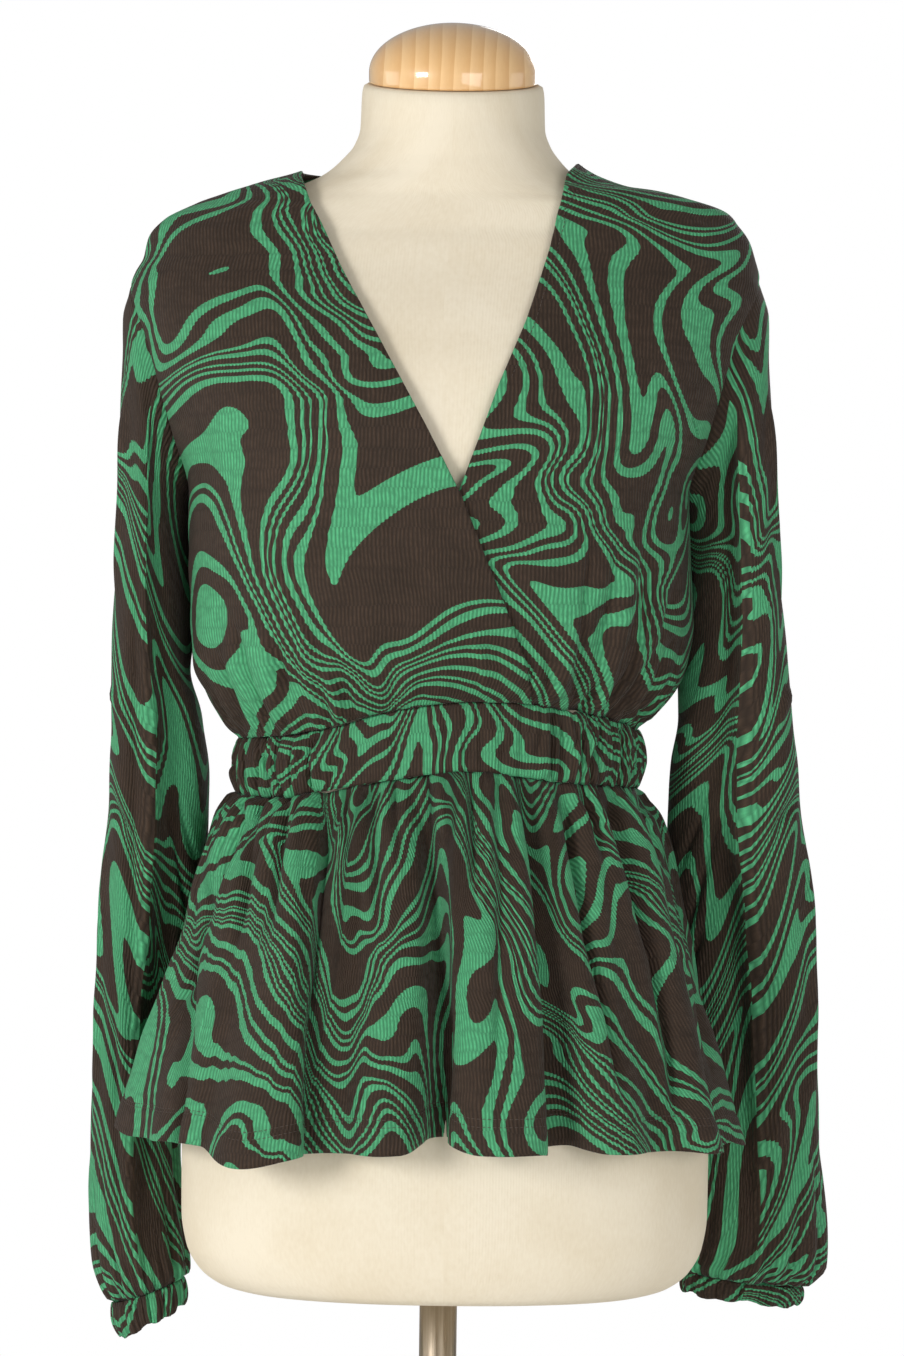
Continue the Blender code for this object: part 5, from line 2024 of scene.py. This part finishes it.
@dataclass(frozen=True)
class Lamp:
    """Square soft light: where it stands and its side, in metres, and its power in watts."""

    name: str
    place: tuple[float, float, float]
    size: float
    power: float


@dataclass
class Studio:
    """Pale floor, white surroundings, soft lights and the camera of the photo, in metres."""

    finish: StudioPaper = StudioPaper()
    distance: float = 3.0
    eye_height: float = 1.073
    eye_side: float = 0.0037
    frame_height: float = 0.8407     # what the frame's long side spans at the form's middle
    sensor_mm: float = 36.0
    roll: float = -0.71
    floor_radius: float = 4.2
    floor_steps: int = 96
    dome_radius: float = 12.0
    sky: float = 0.36                # strength of the white surroundings' own light
    aim: tuple[float, float, float] = (0.0, 0.0, 1.05)
    lamps: tuple[Lamp, ...] = (
        Lamp("key", (-2.3, -2.5, 1.55), 1.0, 62),
        Lamp("fill", (1.4, -3.0, 1.2), 1.6, 33),
        Lamp("side_right", (-2.7, 0.1, 1.3), 1.2, 9),
        Lamp("side_left", (2.7, 0.3, 1.3), 1.2, 5),
        Lamp("back", (1.0, 3.0, 1.9), 1.6, 22),
    )

    def add_part(self, name: str, data: bpy.types.Camera | bpy.types.Light) -> bpy.types.Object:
        """Put a camera or a light into the scene."""
        part = bpy.data.objects.new(name, data)
        bpy.context.scene.collection.objects.link(part)
        return part

    def build_camera(self) -> None:
        """Level camera in front of the form, rolled by the stand's lean in the photo."""
        data = bpy.data.cameras.new("camera")
        data.sensor_width = self.sensor_mm
        data.lens = self.sensor_mm * self.distance / self.frame_height
        camera = self.add_part("camera", data)
        camera.location = (self.eye_side, -self.distance, self.eye_height)
        camera.rotation_euler = (math.radians(90), math.radians(self.roll), 0)
        bpy.context.scene.camera = camera

    def build_light(self, lamp: Lamp) -> None:
        """Make a light that looks at the garment.

        Args:
            lamp: The light.
        """
        data = bpy.data.lights.new(lamp.name, "AREA")
        data.shape, data.size, data.energy = "SQUARE", lamp.size, lamp.power
        light = self.add_part(lamp.name, data)
        light.location = lamp.place
        light.rotation_euler = (Vector(self.aim) - Vector(lamp.place)).to_track_quat("-Z", "Y").to_euler()

    def build_floor(self) -> None:
        """Make the round floor."""
        turns = np.linspace(0, 2 * math.pi, self.floor_steps, endpoint=False)
        mesh = bpy.data.meshes.new("floor")
        mesh.from_pydata([(self.floor_radius * math.cos(t), self.floor_radius * math.sin(t), 0.0) for t in turns], [],
                         [tuple(range(self.floor_steps))])
        add_object("floor", mesh, self.finish.material("studio_paper"))

    def build_dome(self) -> None:
        """Make the white surroundings, which the camera sees and which light nothing."""
        mesh = bpy.data.meshes.new("white_dome")
        shape = bmesh.new()
        bmesh.ops.create_icosphere(shape, subdivisions=4, radius=self.dome_radius)
        shape.to_mesh(mesh)
        shape.free()
        dome = add_object("white_dome", mesh, self.finish.lit("lit_white_backdrop"))
        dome.visible_diffuse = dome.visible_glossy = dome.visible_transmission = dome.visible_shadow = False

    def build(self) -> None:
        """Make the floor, the white dome behind everything, the lights and the camera."""
        self.build_floor()
        world = bpy.data.worlds.new("studio")
        world.use_nodes = True
        background = world.node_tree.nodes["Background"].inputs
        background["Color"].default_value = (1, 1, 1, 1)
        background["Strength"].default_value = self.sky
        bpy.context.scene.world = world
        bpy.context.scene.view_settings.view_transform = "Standard"
        for lamp in self.lamps:
            self.build_light(lamp)
        self.build_dome()
        self.build_camera()


def main() -> None:
    """Load the frame and build every class in order."""
    logging.basicConfig(level=logging.INFO, format="%(name)s: %(message)s")
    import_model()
    knit = PrintedPlisse().material("printed_plisse_knit")
    thread = SewingThread().material("polyester_thread")
    DressForm(CottonJersey().material("cotton_jersey"), VarnishedPine().material("varnished_pine"),
              BrushedSteel().material("brushed_steel")).build()
    WrapBodice(knit, thread).build()
    Waistband(knit, thread).build()
    Peplum(knit, thread).build()
    right = Sleeve(knit, thread, Side.RIGHT, hug=(1075.0, 1186.0, 2.5))
    right.build_sleeve("sleeve_knit_right", "sleeve_right", 0.0)
    right.build_cuff("cuff_knit_right", "cuff_right", 300.0)
    left = Sleeve(knit, thread, Side.LEFT, hug=(1040.0, 1186.0, 5.0))
    left.build_sleeve("sleeve_knit_left", "sleeve_left", 420.0)
    left.build_cuff("cuff_knit_left", "cuff_left", 700.0)
    Studio().build()


if __name__ == "__main__":
    main()
